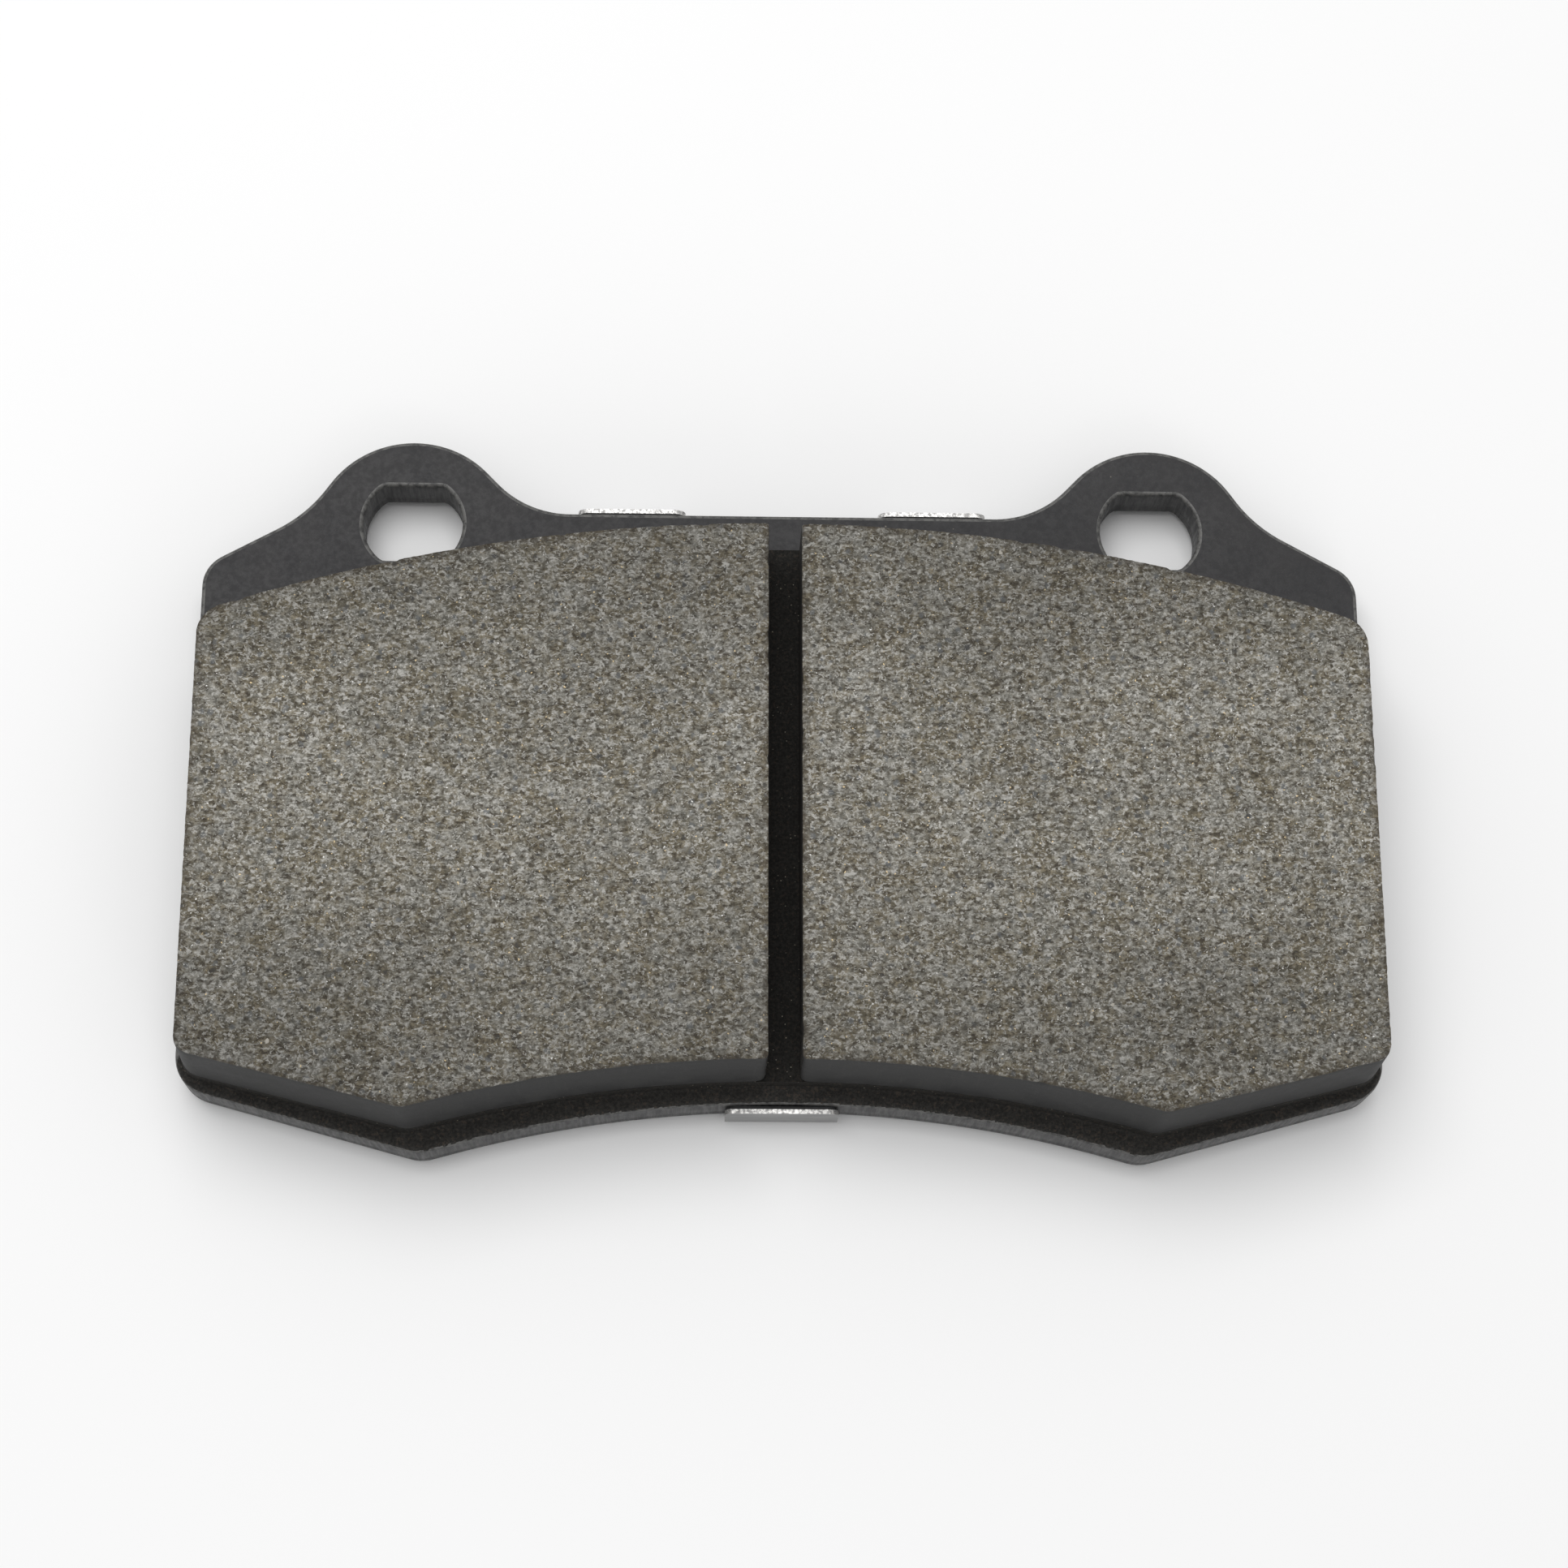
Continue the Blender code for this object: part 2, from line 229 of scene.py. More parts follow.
print("a builder has:", [name for name in vars(Build) if not name.startswith("_")])


# %% Fill a flat face
def fill(build, loops, inside=None, heights=None, kind=0):
    """Fills between loops of existing points, with extra inside points if they are given."""
    known = np.vstack(build.points)
    ids = np.concatenate(loops)
    flat = known[ids][:, :2]
    edges, first = [], 0
    for loop in loops:
        after = np.roll(np.arange(len(loop)), -1)
        edges += [(first + i, first + j) for i, j in enumerate(after)]
        first += len(loop)
    if inside is not None:
        ids = np.concatenate([ids, build.ring(inside, heights)])
        flat = np.vstack([flat, inside])
    made = delaunay_2d_cdt([Vector(p) for p in flat], edges, [], 0, 1e-7, True)
    places, triangles, origin = made[0], np.array(made[2]), made[3]
    back = np.array([ids[o[0]] for o in origin])
    middle = np.array(places)[triangles].mean(axis=1)
    hit = within(middle, [known[loop][:, :2] for loop in loops])
    build.faces += back[triangles[hit]].tolist()
    build.kinds += [kind] * int(hit.sum())


print("a face is filled by", delaunay_2d_cdt.__name__)


# %% Turn the collected points and faces into an object
def make_object(build, name, sharp=35, **shares):
    """Makes the object; each of shares is a named value for every point, kept for its finish."""
    mesh = bpy.data.meshes.new(name)
    points = np.vstack(build.points) * MM
    mesh.from_pydata(points.tolist(), [], build.faces)
    mesh.polygons.foreach_set("material_index", build.kinds)
    for share, values in shares.items():
        mesh.attributes.new(share, "FLOAT", "POINT").data.foreach_set("value", values)
    work = bmesh.new()
    work.from_mesh(mesh)
    loose = [vert for vert in work.verts if not vert.link_faces]
    bmesh.ops.delete(work, geom=loose, context="VERTS")
    bmesh.ops.recalc_face_normals(work, faces=work.faces)
    work.to_mesh(mesh)
    work.free()
    mesh.shade_smooth()
    mesh.set_sharp_from_angle(angle=math.radians(sharp))
    made = bpy.data.objects.new(name, mesh)
    bpy.context.scene.collection.objects.link(made)
    print(f"{name}: {len(mesh.vertices)} points, {len(mesh.polygons)} faces")
    return made


print("objects are linked to", bpy.context.scene.collection.name)

# %% [markdown]
# ## Loose points for a net
# A ground face needs points all over it, and a square grid would show as a pattern. A triangular
# net with every point pushed a little at random has no direction of its own. Points too near the
# rim are left out, because they would make slivers of triangles there.

# %% A shaken net of points, clear of the rim
NET_SHAKE = 0.3                  # how far a point is pushed, in shares of the spacing


def scattered(loop, spacing, seed, margin):
    """Points of a shaken triangular net inside a loop, at least margin from its points."""
    low, high = loop.min(axis=0), loop.max(axis=0)
    rows = np.arange(low[1], high[1], spacing * math.sqrt(3) / 2)
    columns = np.arange(low[0], high[0], spacing)
    y, x = np.meshgrid(rows, columns, indexing="ij")
    x = x + (np.arange(len(rows)) % 2)[:, None] * spacing / 2
    net = np.column_stack([x.ravel(), y.ravel()])
    net += np.random.RandomState(seed).uniform(-NET_SHAKE, NET_SHAKE, net.shape) * spacing
    net = net[within(net, [loop])]
    return net[far_from(net, loop, margin)]


def far_from(points, loop, margin):
    """True for each point further than margin from every point of the loop."""
    cell = margin * 2
    near = {}
    for index, key in enumerate(map(tuple, np.floor(loop / cell).astype(int))):
        near.setdefault(key, []).append(index)
    keep = np.ones(len(points), bool)
    keys = np.floor(points / cell).astype(int)
    around = [(dx, dy) for dx in (-1, 0, 1) for dy in (-1, 0, 1)]
    edge = {(kx + dx, ky + dy) for kx, ky in near for dx, dy in around}
    for index in [i for i, key in enumerate(map(tuple, keys)) if key in edge]:
        kx, ky = keys[index]
        close = [n for dx, dy in around for n in near.get((kx + dx, ky + dy), ())]
        if close:
            gap = loop[close] - points[index]
            keep[index] = (gap ** 2).sum(axis=1).min() > margin ** 2
    return keep


example = scattered(belt(mirrored(PLATE_HALF)), 2.0, 1, 1.0)
print("a net of 2 mm has", len(example), "points on the plate")

# %% [markdown]
# ## Unevenness by rule
# Stone-like surfaces need two kinds of unevenness: a smooth wander, and grains that each have a
# value of their own. Both are written with seeded tables, so the pad comes out the same each time.

# %% Wander: a smooth unevenness
TABLE = 256                      # the tables repeat after this many steps, which no surface reaches


@lru_cache(maxsize=None)
def draws(seed, count):
    """Square tables of random values from 0 to 1."""
    return np.random.RandomState(seed).uniform(0, 1, (count, TABLE, TABLE))


def wander(x, y, size, seed):
    """Smooth values from -1 to 1 that change over about size millimetres."""
    table = draws(seed, 1)[0] * 2 - 1
    u, v = np.asarray(x) / size, np.asarray(y) / size
    i, j = np.floor(u).astype(int), np.floor(v).astype(int)
    fu, fv = u - i, v - j
    fu, fv = fu * fu * (3 - 2 * fu), fv * fv * (3 - 2 * fv)
    i0, i1, j0, j1 = i % TABLE, (i + 1) % TABLE, j % TABLE, (j + 1) % TABLE
    left = table[i0, j0] * (1 - fv) + table[i0, j1] * fv
    right = table[i1, j0] * (1 - fv) + table[i1, j1] * fv
    return left * (1 - fu) + right * fu


print("wander at five places 0.3 mm apart:", np.round(wander(np.arange(5) * 0.3, 0.0, 1.0, 1), 2))


# %% Grains: cells that each have a value of their own
def grains(x, y, size, seed):
    """For each point, its nearest grain's own value from 0 to 1 and the distance to that grain."""
    draw = draws(seed, 3)
    u, v = np.asarray(x) / size, np.asarray(y) / size
    i, j = np.floor(u).astype(int), np.floor(v).astype(int)
    best, value = np.full(u.shape, 9.0), np.zeros(u.shape)
    for di in (-1, 0, 1):
        for dj in (-1, 0, 1):
            a, b = (i + di) % TABLE, (j + dj) % TABLE
            gap = np.hypot(i + di + draw[0, a, b] - u, j + dj + draw[1, a, b] - v)
            closer = gap < best
            best, value = np.where(closer, gap, best), np.where(closer, draw[2, a, b], value)
    return value, best * size


print("five neighbouring grains:", np.round(grains(np.arange(5) * 1.0, 0.0, 1.0, 1)[0], 2))

# %% [markdown]
# ## The backing plate
# A blanked plate isn't a plain extrusion. The punch first drags the steel in, which rounds the
# front edge, then shears it smooth, and the last third tears and stands back a little. The rings
# follow that section, and each pin hole has the same section turned inside out.

# %% Section of a blanked edge: how far in from the edge, how high above the plate's back
THICKNESS = PLATE_FRONT - PLATE_BACK
EDGE_SECTION = [(0.16, 0.0), (0.05, 0.06), (0.02, 0.2), (0.05, 0.9), (0.07, 1.5), (0.0, 1.75),
                (0.0, 3.2), (0.0, THICKNESS - 0.55), (0.03, THICKNESS - 0.3),
                (0.12, THICKNESS - 0.12), (0.27, THICKNESS - 0.03), (0.46, THICKNESS)]
TORN_ZONE = (0.5, 1.6)           # heights between which the steel tore
TORN_DEPTH, TORN_SIZE = 0.025, 0.9
PLATE_SPACING = 0.5
print(f"a {THICKNESS:.1f} mm plate, with {EDGE_SECTION[-1][0]} mm of rounding at its front edge")


# %% One blanked edge
def blanked_wall(build, rounds, outward, seed):
    """Makes one edge, outward 1 for the outline or -1 for a hole; returns its two end rings."""
    line, normal = evenly(belt(rounds), PLATE_SPACING)
    rings = []
    for inset, height in EDGE_SECTION:
        rough = 0.0
        if TORN_ZONE[0] < height < TORN_ZONE[1]:
            rough = TORN_DEPTH * wander(line[:, 0], line[:, 1], TORN_SIZE, seed) - TORN_DEPTH
        reach = outward * (rough - inset)
        rings.append(build.ring(line + normal * np.reshape(reach, (-1, 1)), PLATE_BACK + height))
    for lower, upper in zip(rings, rings[1:]):
        build.wall(lower, upper, kind=1)
    return rings[0], rings[-1]


print(f"each edge has {len(EDGE_SECTION)} rings")


# %% Rounds of a pin hole
def pin_hole(side):
    """Rounds of one ear's pin hole, a circle with a flat above and a flat below."""
    x, y = side * PIN_HOLE_PLACE[0], PIN_HOLE_PLACE[1]
    rise = PIN_HOLE_HALF_HEIGHT - PIN_HOLE_CORNER
    run = math.sqrt((PIN_HOLE_RADIUS - PIN_HOLE_CORNER) ** 2 - rise ** 2)
    wall = (x, y, PIN_HOLE_RADIUS)
    turns = [(x + run, y + rise), (x + run, y - rise), (x - run, y - rise), (x - run, y + rise)]
    corners = [(*turn, PIN_HOLE_CORNER) for turn in turns]
    return [corners[0], wall, corners[1], corners[2], wall, corners[3]]


print(f"a pin hole has {len(pin_hole(1))} rounds, two of them its full width")

# %% Make the plate
plate_build = Build()
plate_ends = [blanked_wall(plate_build, mirrored(PLATE_HALF), 1, seed=3)]
plate_ends += [blanked_wall(plate_build, pin_hole(side), -1, seed=5 + side) for side in (-1, 1)]
fill(plate_build, [back for back, front in plate_ends])
fill(plate_build, [front for back, front in plate_ends])
plate = make_object(plate_build, "plate_blanked_and_coated")

# %% [markdown]
# ## The ground face
# Grinding opens the friction mixture: grains stand at slightly different heights, soft ones pluck
# out and leave pits, and the grinder leaves faint lines. A displacement texture could do this, but
# it wouldn't keep its size in millimetres or become part of the mesh. So each point of the face
# sinks by one rule, which the rim, the fibres and the lumps can ask too.

# %% How deep the ground face lies under its highest points
FACE_SKIN = 0.05                 # the highest grains stay this far under the pad's full height
PIT_DEPTH = 0.16
PITTED_FROM = 0.72               # grains with a value above this have been plucked out
LINE_DEPTH, LINE_PITCH = 0.008, 0.35


def face_depth(x, y, seed):
    """Depth in millimetres under the pad's full height."""
    x = x + 0.12 * wander(x, y, 0.4, seed + 1)
    y = y + 0.12 * wander(x, y, 0.4, seed + 2)
    big, _ = grains(x, y, 1.2, seed + 3)
    small, gap = grains(x, y, 0.55, seed + 4)
    pit, reach = grains(x, y, 1.9, seed + 5)
    pit_size = 0.25 + 0.35 * pit
    hollow = np.clip(1 - (reach / pit_size) ** 2, 0, 1)
    pits = np.where(pit > PITTED_FROM, hollow, 0) * PIT_DEPTH
    lines = LINE_DEPTH * wander(x / 14, y, LINE_PITCH, seed + 6)
    body = 0.035 * big + 0.05 * small ** 2 + 0.05 * np.clip(gap - 0.2, 0, 1)
    return FACE_SKIN + body + pits + lines + 0.02 * np.abs(wander(x, y, 0.3, seed + 7))


depths = face_depth(np.arange(5) * 0.5, np.zeros(5), 100)
print("depths along 2 mm of the face:", np.round(depths, 3))

# %% [markdown]
# ## The two halves of the friction block
# The halves come out of a hot mould with smooth dark sides, a little wider at the plate so that
# they leave the mould, and with upright walls along the slot, which is cut or formed by a blade.
# Rings go up the sides; the last four turn over the ground edge, which crumbles a little, and the
# face is filled with a net of points a third of a millimetre apart.

# %% Rounds of one half
def block_rounds():
    top_x, low_x = SLOT_HALF + SLOT_TOP_ROUND, SLOT_HALF + SLOT_LOW_ROUND
    top_y = BLOCK_TOP[1] + math.sqrt((BLOCK_TOP[2] - SLOT_TOP_ROUND) ** 2 - top_x ** 2)
    low_y = BLOCK_BOTTOM[1] + math.sqrt((BLOCK_BOTTOM[2] - SLOT_LOW_ROUND) ** 2 - low_x ** 2)
    return [(top_x, top_y, SLOT_TOP_ROUND), BLOCK_TOP, *BLOCK_SIDES, BLOCK_BOTTOM,
            (low_x, low_y, SLOT_LOW_ROUND)]


print(f"one half has {len(block_rounds())} rounds")

# %% How far the ground edge has broken
CHIP_DEPTH, CHIP_REACH = 0.32, 0.8
CHIPPED_FROM = 0.72              # grains at the edge with a value above this have chipped off
LEAST_BREAK = 0.03


def crumble(line, seed):
    """How far the ground edge has broken inwards at each point of the rim."""
    x, y = line.T
    fine = 0.05 * np.abs(wander(x, y, 0.35, seed)) + 0.05 * np.abs(wander(x, y, 1.3, seed + 1))
    chip, reach = grains(x, y, 2.6, seed + 2)
    chips = np.where(chip > CHIPPED_FROM, np.clip(1 - reach / CHIP_REACH, 0, 1), 0) * CHIP_DEPTH
    return LEAST_BREAK + fine + chips


broken_edge = crumble(belt(block_rounds()), 120)
print(f"the edge is broken by {broken_edge.min():.2f} to {broken_edge.max():.2f} mm")

# %% How far the moulded side stands out at one height
UPRIGHT_NEAR_SLOT = 0.4          # the draft fades out over this distance from the slot
MOUTH_REACH = 1.3                # the slot's lower mouth is torn this far from the slot
MOUTH_TOP = -18                  # and from this height down
MOUTH_DEPTH, MOUTH_GRAIN = 0.22, 0.55
SIDE_WAVE, SIDE_WAVE_SIZE = 0.02, 3.0


def side_lean(line, share, tall, seed):
    """Distance outwards of each point of the rim, at this share of the block's height."""
    from_slot = np.abs(line[:, 0]) - SLOT_HALF
    drafted = DRAFT * np.clip(from_slot / UPRIGHT_NEAR_SLOT, 0, 1)
    wave = SIDE_WAVE * wander(line[:, 0], line[:, 1] + 9 * share, SIDE_WAVE_SIZE, seed)
    ragged = np.clip(MOUTH_REACH - from_slot, 0, 1) * np.clip(MOUTH_TOP - line[:, 1], 0, 1)
    tear = np.abs(wander(line[:, 0] + line[:, 1], share * tall, MOUTH_GRAIN, seed + 9))
    return drafted * (1 - share) + wave - ragged * MOUTH_DEPTH * tear


foot = side_lean(belt(block_rounds()), 0.0, FACE - LAYER_TOP, 100)
print(f"at the plate the sides stand out by up to {foot.max():.2f} mm")

# %% Make both halves
RIM_SPACING, NET_SPACING = 0.3, 0.32
WALL_STEPS = [0.0, 0.04, 0.09, 0.15, 0.22, 0.3, 0.38, 0.46, 0.54, 0.62, 0.7, 0.78, 0.85, 0.91]
CRUMBLE_STEPS = [(0.55, 0.15), (0.32, 0.45), (0.15, 0.75), (0.0, 1.0)]   # (depth, share of break)
SLOT_WALL_END = 0.12             # walls this near the slot are dark and sandy like the skirt
BRUISED_REACHES = (0.35, 0.8)    # the face is darker in two bands this wide along its rim


def make_block(side, name, seed):
    """One half of the block; side is 1 on the right and -1 on the left."""
    line, normal = evenly(belt(block_rounds()), RIM_SPACING)
    line, normal = line * (side, 1), normal * (side, 1)
    build, rings = Build(), []
    tall = FACE - LAYER_TOP
    slot_wall = np.where(np.abs(line[:, 0]) - SLOT_HALF < SLOT_WALL_END, 2, 1)
    for share in WALL_STEPS:
        lean = side_lean(line, share, tall, seed)
        rings.append(build.ring(line + normal * lean[:, None], LAYER_TOP + share * tall))
    broken = crumble(line, seed + 20)
    for below, share in CRUMBLE_STEPS:
        moved = line - normal * (broken * share)[:, None]
        sunk = face_depth(moved[:, 0], moved[:, 1], seed) + 0.35 * broken * share
        rings.append(build.ring(moved, FACE - below - sunk * share))
    for index, (lower, upper) in enumerate(zip(rings, rings[1:])):
        build.wall(lower, upper, kind=slot_wall if index < len(WALL_STEPS) + 1 else 0)
    rim = build.points[-1][:, :2]
    net = scattered(rim, NET_SPACING, seed + 40, 0.2)
    fill(build, [rings[-1]], net, FACE - face_depth(net[:, 0], net[:, 1], seed))
    fill(build, [rings[0]], kind=1)
    bruised = np.ones(build.count)
    bruised[-len(net):] = 0.7 - sum(0.35 * far_from(net, rim, reach) for reach in BRUISED_REACHES)
    return make_object(build, name, sharp=60, bruised=bruised)


block_left = make_block(-1, "friction_half_left", seed=100)
block_right = make_block(1, "friction_half_right", seed=200)

# %% [markdown]
# ## The underlayer
# A thin black mixture sits between the steel and the friction material. It shows as the rough floor
# of the slot and as a narrow step around the block. It is built from rings like the block, and its
# top gets a dense net of points only inside the slot, because the rest of it is covered.

# %% Height of the slot's rough floor
def floor_height(x, y):
    value, gap = grains(x, y, 0.5, 310)
    ripple = 0.04 * wander(x, y, 0.45, 311) + 0.03 * wander(x, y, 1.6, 312)
    return LAYER_TOP - 0.12 + 0.07 * value + ripple - 0.05 * np.clip(gap - 0.2, 0, 1)


print("heights along the slot:", np.round(floor_height(np.zeros(5), np.arange(5) * 0.5), 2))

# %% Make the underlayer
FLOOR_SPACING = 0.28
FLOOR_BEYOND_SLOT = 0.6          # the floor's net goes this far under each half
UNDER_STEPS = ((0.72, 0.0), (0.62, 0.2), (0.54, 0.45), (0.5, 0.75), (DRAFT + 0.02, 1.0))
under_rounds = mirrored([BLOCK_TOP, *BLOCK_SIDES, BLOCK_BOTTOM])
under_line, under_normal = evenly(belt(under_rounds), RIM_SPACING)
under_build = Build()
under_rings = []
for reach, rise in UNDER_STEPS:
    height = PLATE_FRONT + (LAYER_TOP - PLATE_FRONT) * rise
    bumpy = 0.05 * wander(under_line[:, 0], under_line[:, 1] + 7 * rise, 0.5, 320) * (1 - rise)
    moved = under_line + under_normal * (reach + bumpy)[:, None]
    under_rings.append(under_build.ring(moved, height))
for lower, upper in zip(under_rings, under_rings[1:]):
    under_build.wall(lower, upper)
in_slot = scattered(under_line + under_normal * DRAFT, FLOOR_SPACING, 313, 0.2)
in_slot = in_slot[np.abs(in_slot[:, 0]) < SLOT_HALF + FLOOR_BEYOND_SLOT]
fill(under_build, [under_rings[-1]], in_slot, floor_height(in_slot[:, 0], in_slot[:, 1]))
fill(under_build, [under_rings[0]])
underlayer = make_object(under_build, "underlayer_moulded")

# %% [markdown]
# ## The skirt pressed out of the mould
# Along the lower edge the mould let a little of the underlayer out over the plate. It runs to the
# plate's edge and follows its rounded rim down, so its width differs from place to place. Each
# point of the block's outline looks outwards for the plate's edge, and the rows of the skirt share
# that distance.

# %% Distance from one outline to another
def reach_to(points, normals, loop, limit):
    """Distance from each point along its normal to a closed line, at most limit."""
    found = np.full(len(points), limit)
    for start, end in zip(loop, np.roll(loop, -1, axis=0)):
        side = end - start
        cross = normals[:, 0] * side[1] - normals[:, 1] * side[0]
        cross = np.where(np.abs(cross) < 1e-9, 1e-9, cross)
        gap = start - points
        ahead = (gap[:, 0] * side[1] - gap[:, 1] * side[0]) / cross
        along = (gap[:, 0] * normals[:, 1] - gap[:, 1] * normals[:, 0]) / cross
        hit = (ahead > 0) & (along >= 0) & (along <= 1)
        found = np.where(hit, np.minimum(found, ahead), found)
    return found


below = reach_to(np.zeros((1, 2)), np.array([[0.0, -1.0]]), belt(mirrored(PLATE_HALF)), 99.0)[0]
print(f"the plate's lower edge lies {below:.1f} mm under the pad's middle")


# %% How wide the skirt is at each place
SKIRT_FROM_EDGE = 0.05           # it stops this far inside the plate's outline
SKIRT_UPPER = 0.5                # and this far from the block on the upper side
SKIRT_START = 0.3                # it starts this far from the block's outline, under the step
plate_line, plate_normal = evenly(belt(mirrored(PLATE_HALF)), PLATE_SPACING)
start_line = under_line + under_normal * SKIRT_START
room = reach_to(start_line, under_normal, plate_line - plate_normal * SKIRT_FROM_EDGE, 4.0)
lowness = np.clip((-under_normal[:, 1] + 0.1) / 0.3, 0, 1)
width = np.minimum(room, SKIRT_UPPER + (room - SKIRT_UPPER) * lowness)
width = width - 0.1 * np.abs(wander(start_line[:, 0], start_line[:, 1], 0.6, 330))
print(f"the skirt is {width.min():.2f} to {width.max():.2f} mm wide")

# %% Make the sandy skirt
SKIRT_ROWS = 11
SKIRT_BURIED = 0.05              # its edges go this far into the plate
RIM_INSETS = [inset for inset, height in EDGE_SECTION[-4:]]
RIM_DROPS = [THICKNESS - height for inset, height in EDGE_SECTION[-4:]]
skirt_build = Build()
skirt_rings = [skirt_build.ring(start_line, PLATE_FRONT - SKIRT_BURIED)]
for row in range(SKIRT_ROWS):
    share = row / (SKIRT_ROWS - 1)
    line = start_line + under_normal * (width * share)[:, None]
    value, gap = grains(line[:, 0], line[:, 1], 0.42, 331)
    lift = 0.12 + 0.09 * value - 0.06 * gap + 0.03 * wander(line[:, 0], line[:, 1], 2.5, 332)
    lift = np.maximum(lift * (1 - share ** 5), 0.012) + 0.45 * (1 - share) ** 12
    over_rim = np.interp(room + SKIRT_FROM_EDGE - width * share, RIM_INSETS, RIM_DROPS)
    skirt_rings.append(skirt_build.ring(line, PLATE_FRONT + lift - over_rim))
skirt_rings.append(skirt_build.ring(line, PLATE_FRONT - SKIRT_BURIED - over_rim))
for lower, upper in zip(skirt_rings, skirt_rings[1:] + skirt_rings[:1]):
    skirt_build.wall(lower, upper)
skirt = make_object(skirt_build, "underlayer_pressed_out_skirt", sharp=70)

# %% [markdown]
# ## Fibres and granules in the ground face
# Friction material is held together by chopped fibres and carries mineral grains. The grinder
# leaves many of them lying bare, and they make the face glitter as it turns. A pattern can't
# catch the light from a new side, so these are real slivers: short, bent, three-sided strips
# pressed into the face, and small flattened lumps.

# %% Places on the ground face
UNDER_FULL_HEIGHT = 0.004


def on_face(rim, count, draw):
    """Random places inside the rim, in millimetres."""
    places = draw.uniform(rim.min(axis=0), rim.max(axis=0), (count * 2, 2))
    return places[within(places, [rim])][:count]


def under_top(middle, raise_by, seed):
    """Height of a point raise_by over the ground face, but always under the pad's full height."""
    face = FACE - face_depth(middle[..., 0], middle[..., 1], seed)
    return np.minimum(face + raise_by, FACE - UNDER_FULL_HEIGHT)


print(f"nothing on the face stands over {FACE - UNDER_FULL_HEIGHT:.3f} mm")

# %% Slivers of fibre
FIBRES = 1500
FIBRE_STOPS = np.linspace(-0.5, 0.5, 5)
FIBRE_PROUD, FIBRE_BURIED = 0.035, 0.05


def add_slivers(build, rim, draw, face_seed):
    """Adds short bent strips of three-sided section, each thin at its ends."""
    place = on_face(rim, FIBRES, draw)[:, None]
    count = (len(place), 1)
    length, thick = draw.lognormal(-0.55, 0.4, count), draw.uniform(0.035, 0.075, count)
    turn = draw.uniform(0, math.tau, count) + draw.normal(0, 0.9, count) * FIBRE_STOPS
    middle = place + (length * FIBRE_STOPS)[..., None] * np.stack([np.cos(turn), np.sin(turn)], -1)
    slim = thick * (1 - 1.6 * FIBRE_STOPS ** 2)
    aside = np.stack([-np.sin(turn), np.cos(turn)], -1) * slim[..., None]
    top = under_top(middle, FIBRE_PROUD, face_seed)
    foot = under_top(middle, -FIBRE_BURIED, face_seed)
    for one in range(len(place)):
        strip = []
        for stop in range(len(FIBRE_STOPS)):
            at, off = middle[one, stop], aside[one, stop]
            heights = foot[one, stop], top[one, stop], foot[one, stop]
            strip.append(build.ring(np.array([at - off, at, at + off]), heights))
        build.tube(strip)


print(f"{FIBRES} slivers on each half, most of them {math.exp(-0.55):.1f} mm long")

# %% Mineral lumps
LUMPS, LUMP_CORNERS = 26, 8
LUMP_RINGS = ((1.0, -0.08), (0.95, 0.015), (0.55, 0.04))      # (width, height above the face)


def add_lumps(build, rim, draw, face_seed):
    """Adds small flattened lumps with uneven corners."""
    for at in on_face(rim, LUMPS, draw):
        size, wobble = draw.uniform(0.1, 0.3), draw.uniform(0.5, 1.2, LUMP_CORNERS)
        around = np.arange(LUMP_CORNERS) * math.tau / LUMP_CORNERS
        shape = np.column_stack([np.cos(around), np.sin(around)]) * (size * wobble)[:, None]
        build.tube([build.ring(at + shape * wide, under_top(at, high, face_seed))
                    for wide, high in LUMP_RINGS], kind=1)


print(f"{LUMPS} lumps on each half")

# %% Press them into both faces
CLEAR_OF_RIM = 0.7


def make_fibres(side, name, seed, face_seed):
    draw = np.random.RandomState(seed)
    line, normal = evenly(belt(block_rounds()), RIM_SPACING)
    rim = (line - normal * CLEAR_OF_RIM) * (side, 1)
    build = Build()
    add_slivers(build, rim, draw, face_seed)
    add_lumps(build, rim, draw, face_seed)
    return make_object(build, name, sharp=50)


fibres_left = make_fibres(-1, "fibres_in_left_face", seed=101, face_seed=100)
fibres_right = make_fibres(1, "fibres_in_right_face", seed=201, face_seed=200)

# %% [markdown]
# ## The shim
# The shim is blanked flat from coated sheet with its tabs sticking out, then each tab is folded up
# over the plate's edge. It is made the same way here: a flat pattern, a fold about three lines, and
# then the sheet's gauge. Folding a flat pattern keeps every length true, which a tab modelled
# upright and stuck on wouldn't.

# %% Sizes of the tabs
TAB_HALF = 6.15                  # half a tab's width
TAB_NECK, TAB_RELIEF = 5.8, 0.7  # half its width at the bend, and the round cut beside its root
TAB_CORNERS = {"upper": 1.3, "lower": 0.9}
TAB_LINES = {"upper": 35.5, "lower": -32.4}      # where each bend begins, on the drawing
UPPER_TAB_X = 17.2
BEND_CENTRE_Z = 1.1              # height of the centre that the tabs are folded around
print(f"tabs {2 * TAB_HALF:.1f} mm wide, folded up to {TAB_END:.2f} mm")

# %% Flat pattern with tabs
def tab_rounds(x, root_y, name, long, trim):
    """Rounds of one flat tab, clockwise: relief, neck, shoulder and corner, then mirrored."""
    up, bend, corner = (1 if name == "upper" else -1), TAB_LINES[name], TAB_CORNERS[name]
    half, neck = TAB_HALF - trim, TAB_NECK - trim
    side = [(-neck - TAB_RELIEF, root_y + up * TAB_RELIEF, -TAB_RELIEF),
            (-neck - 0.3, bend + up * 0.3, -0.3), (0.4 - half, bend + up * 1.1, 0.4),
            (corner - half, bend + up * (long - corner), corner)]
    other = [(-across, y, radius) for across, y, radius in reversed(side)]
    return [(x + up * across, y, radius) for across, y, radius in side + other]


def fold_radius(height):
    return BEND_CENTRE_Z - height


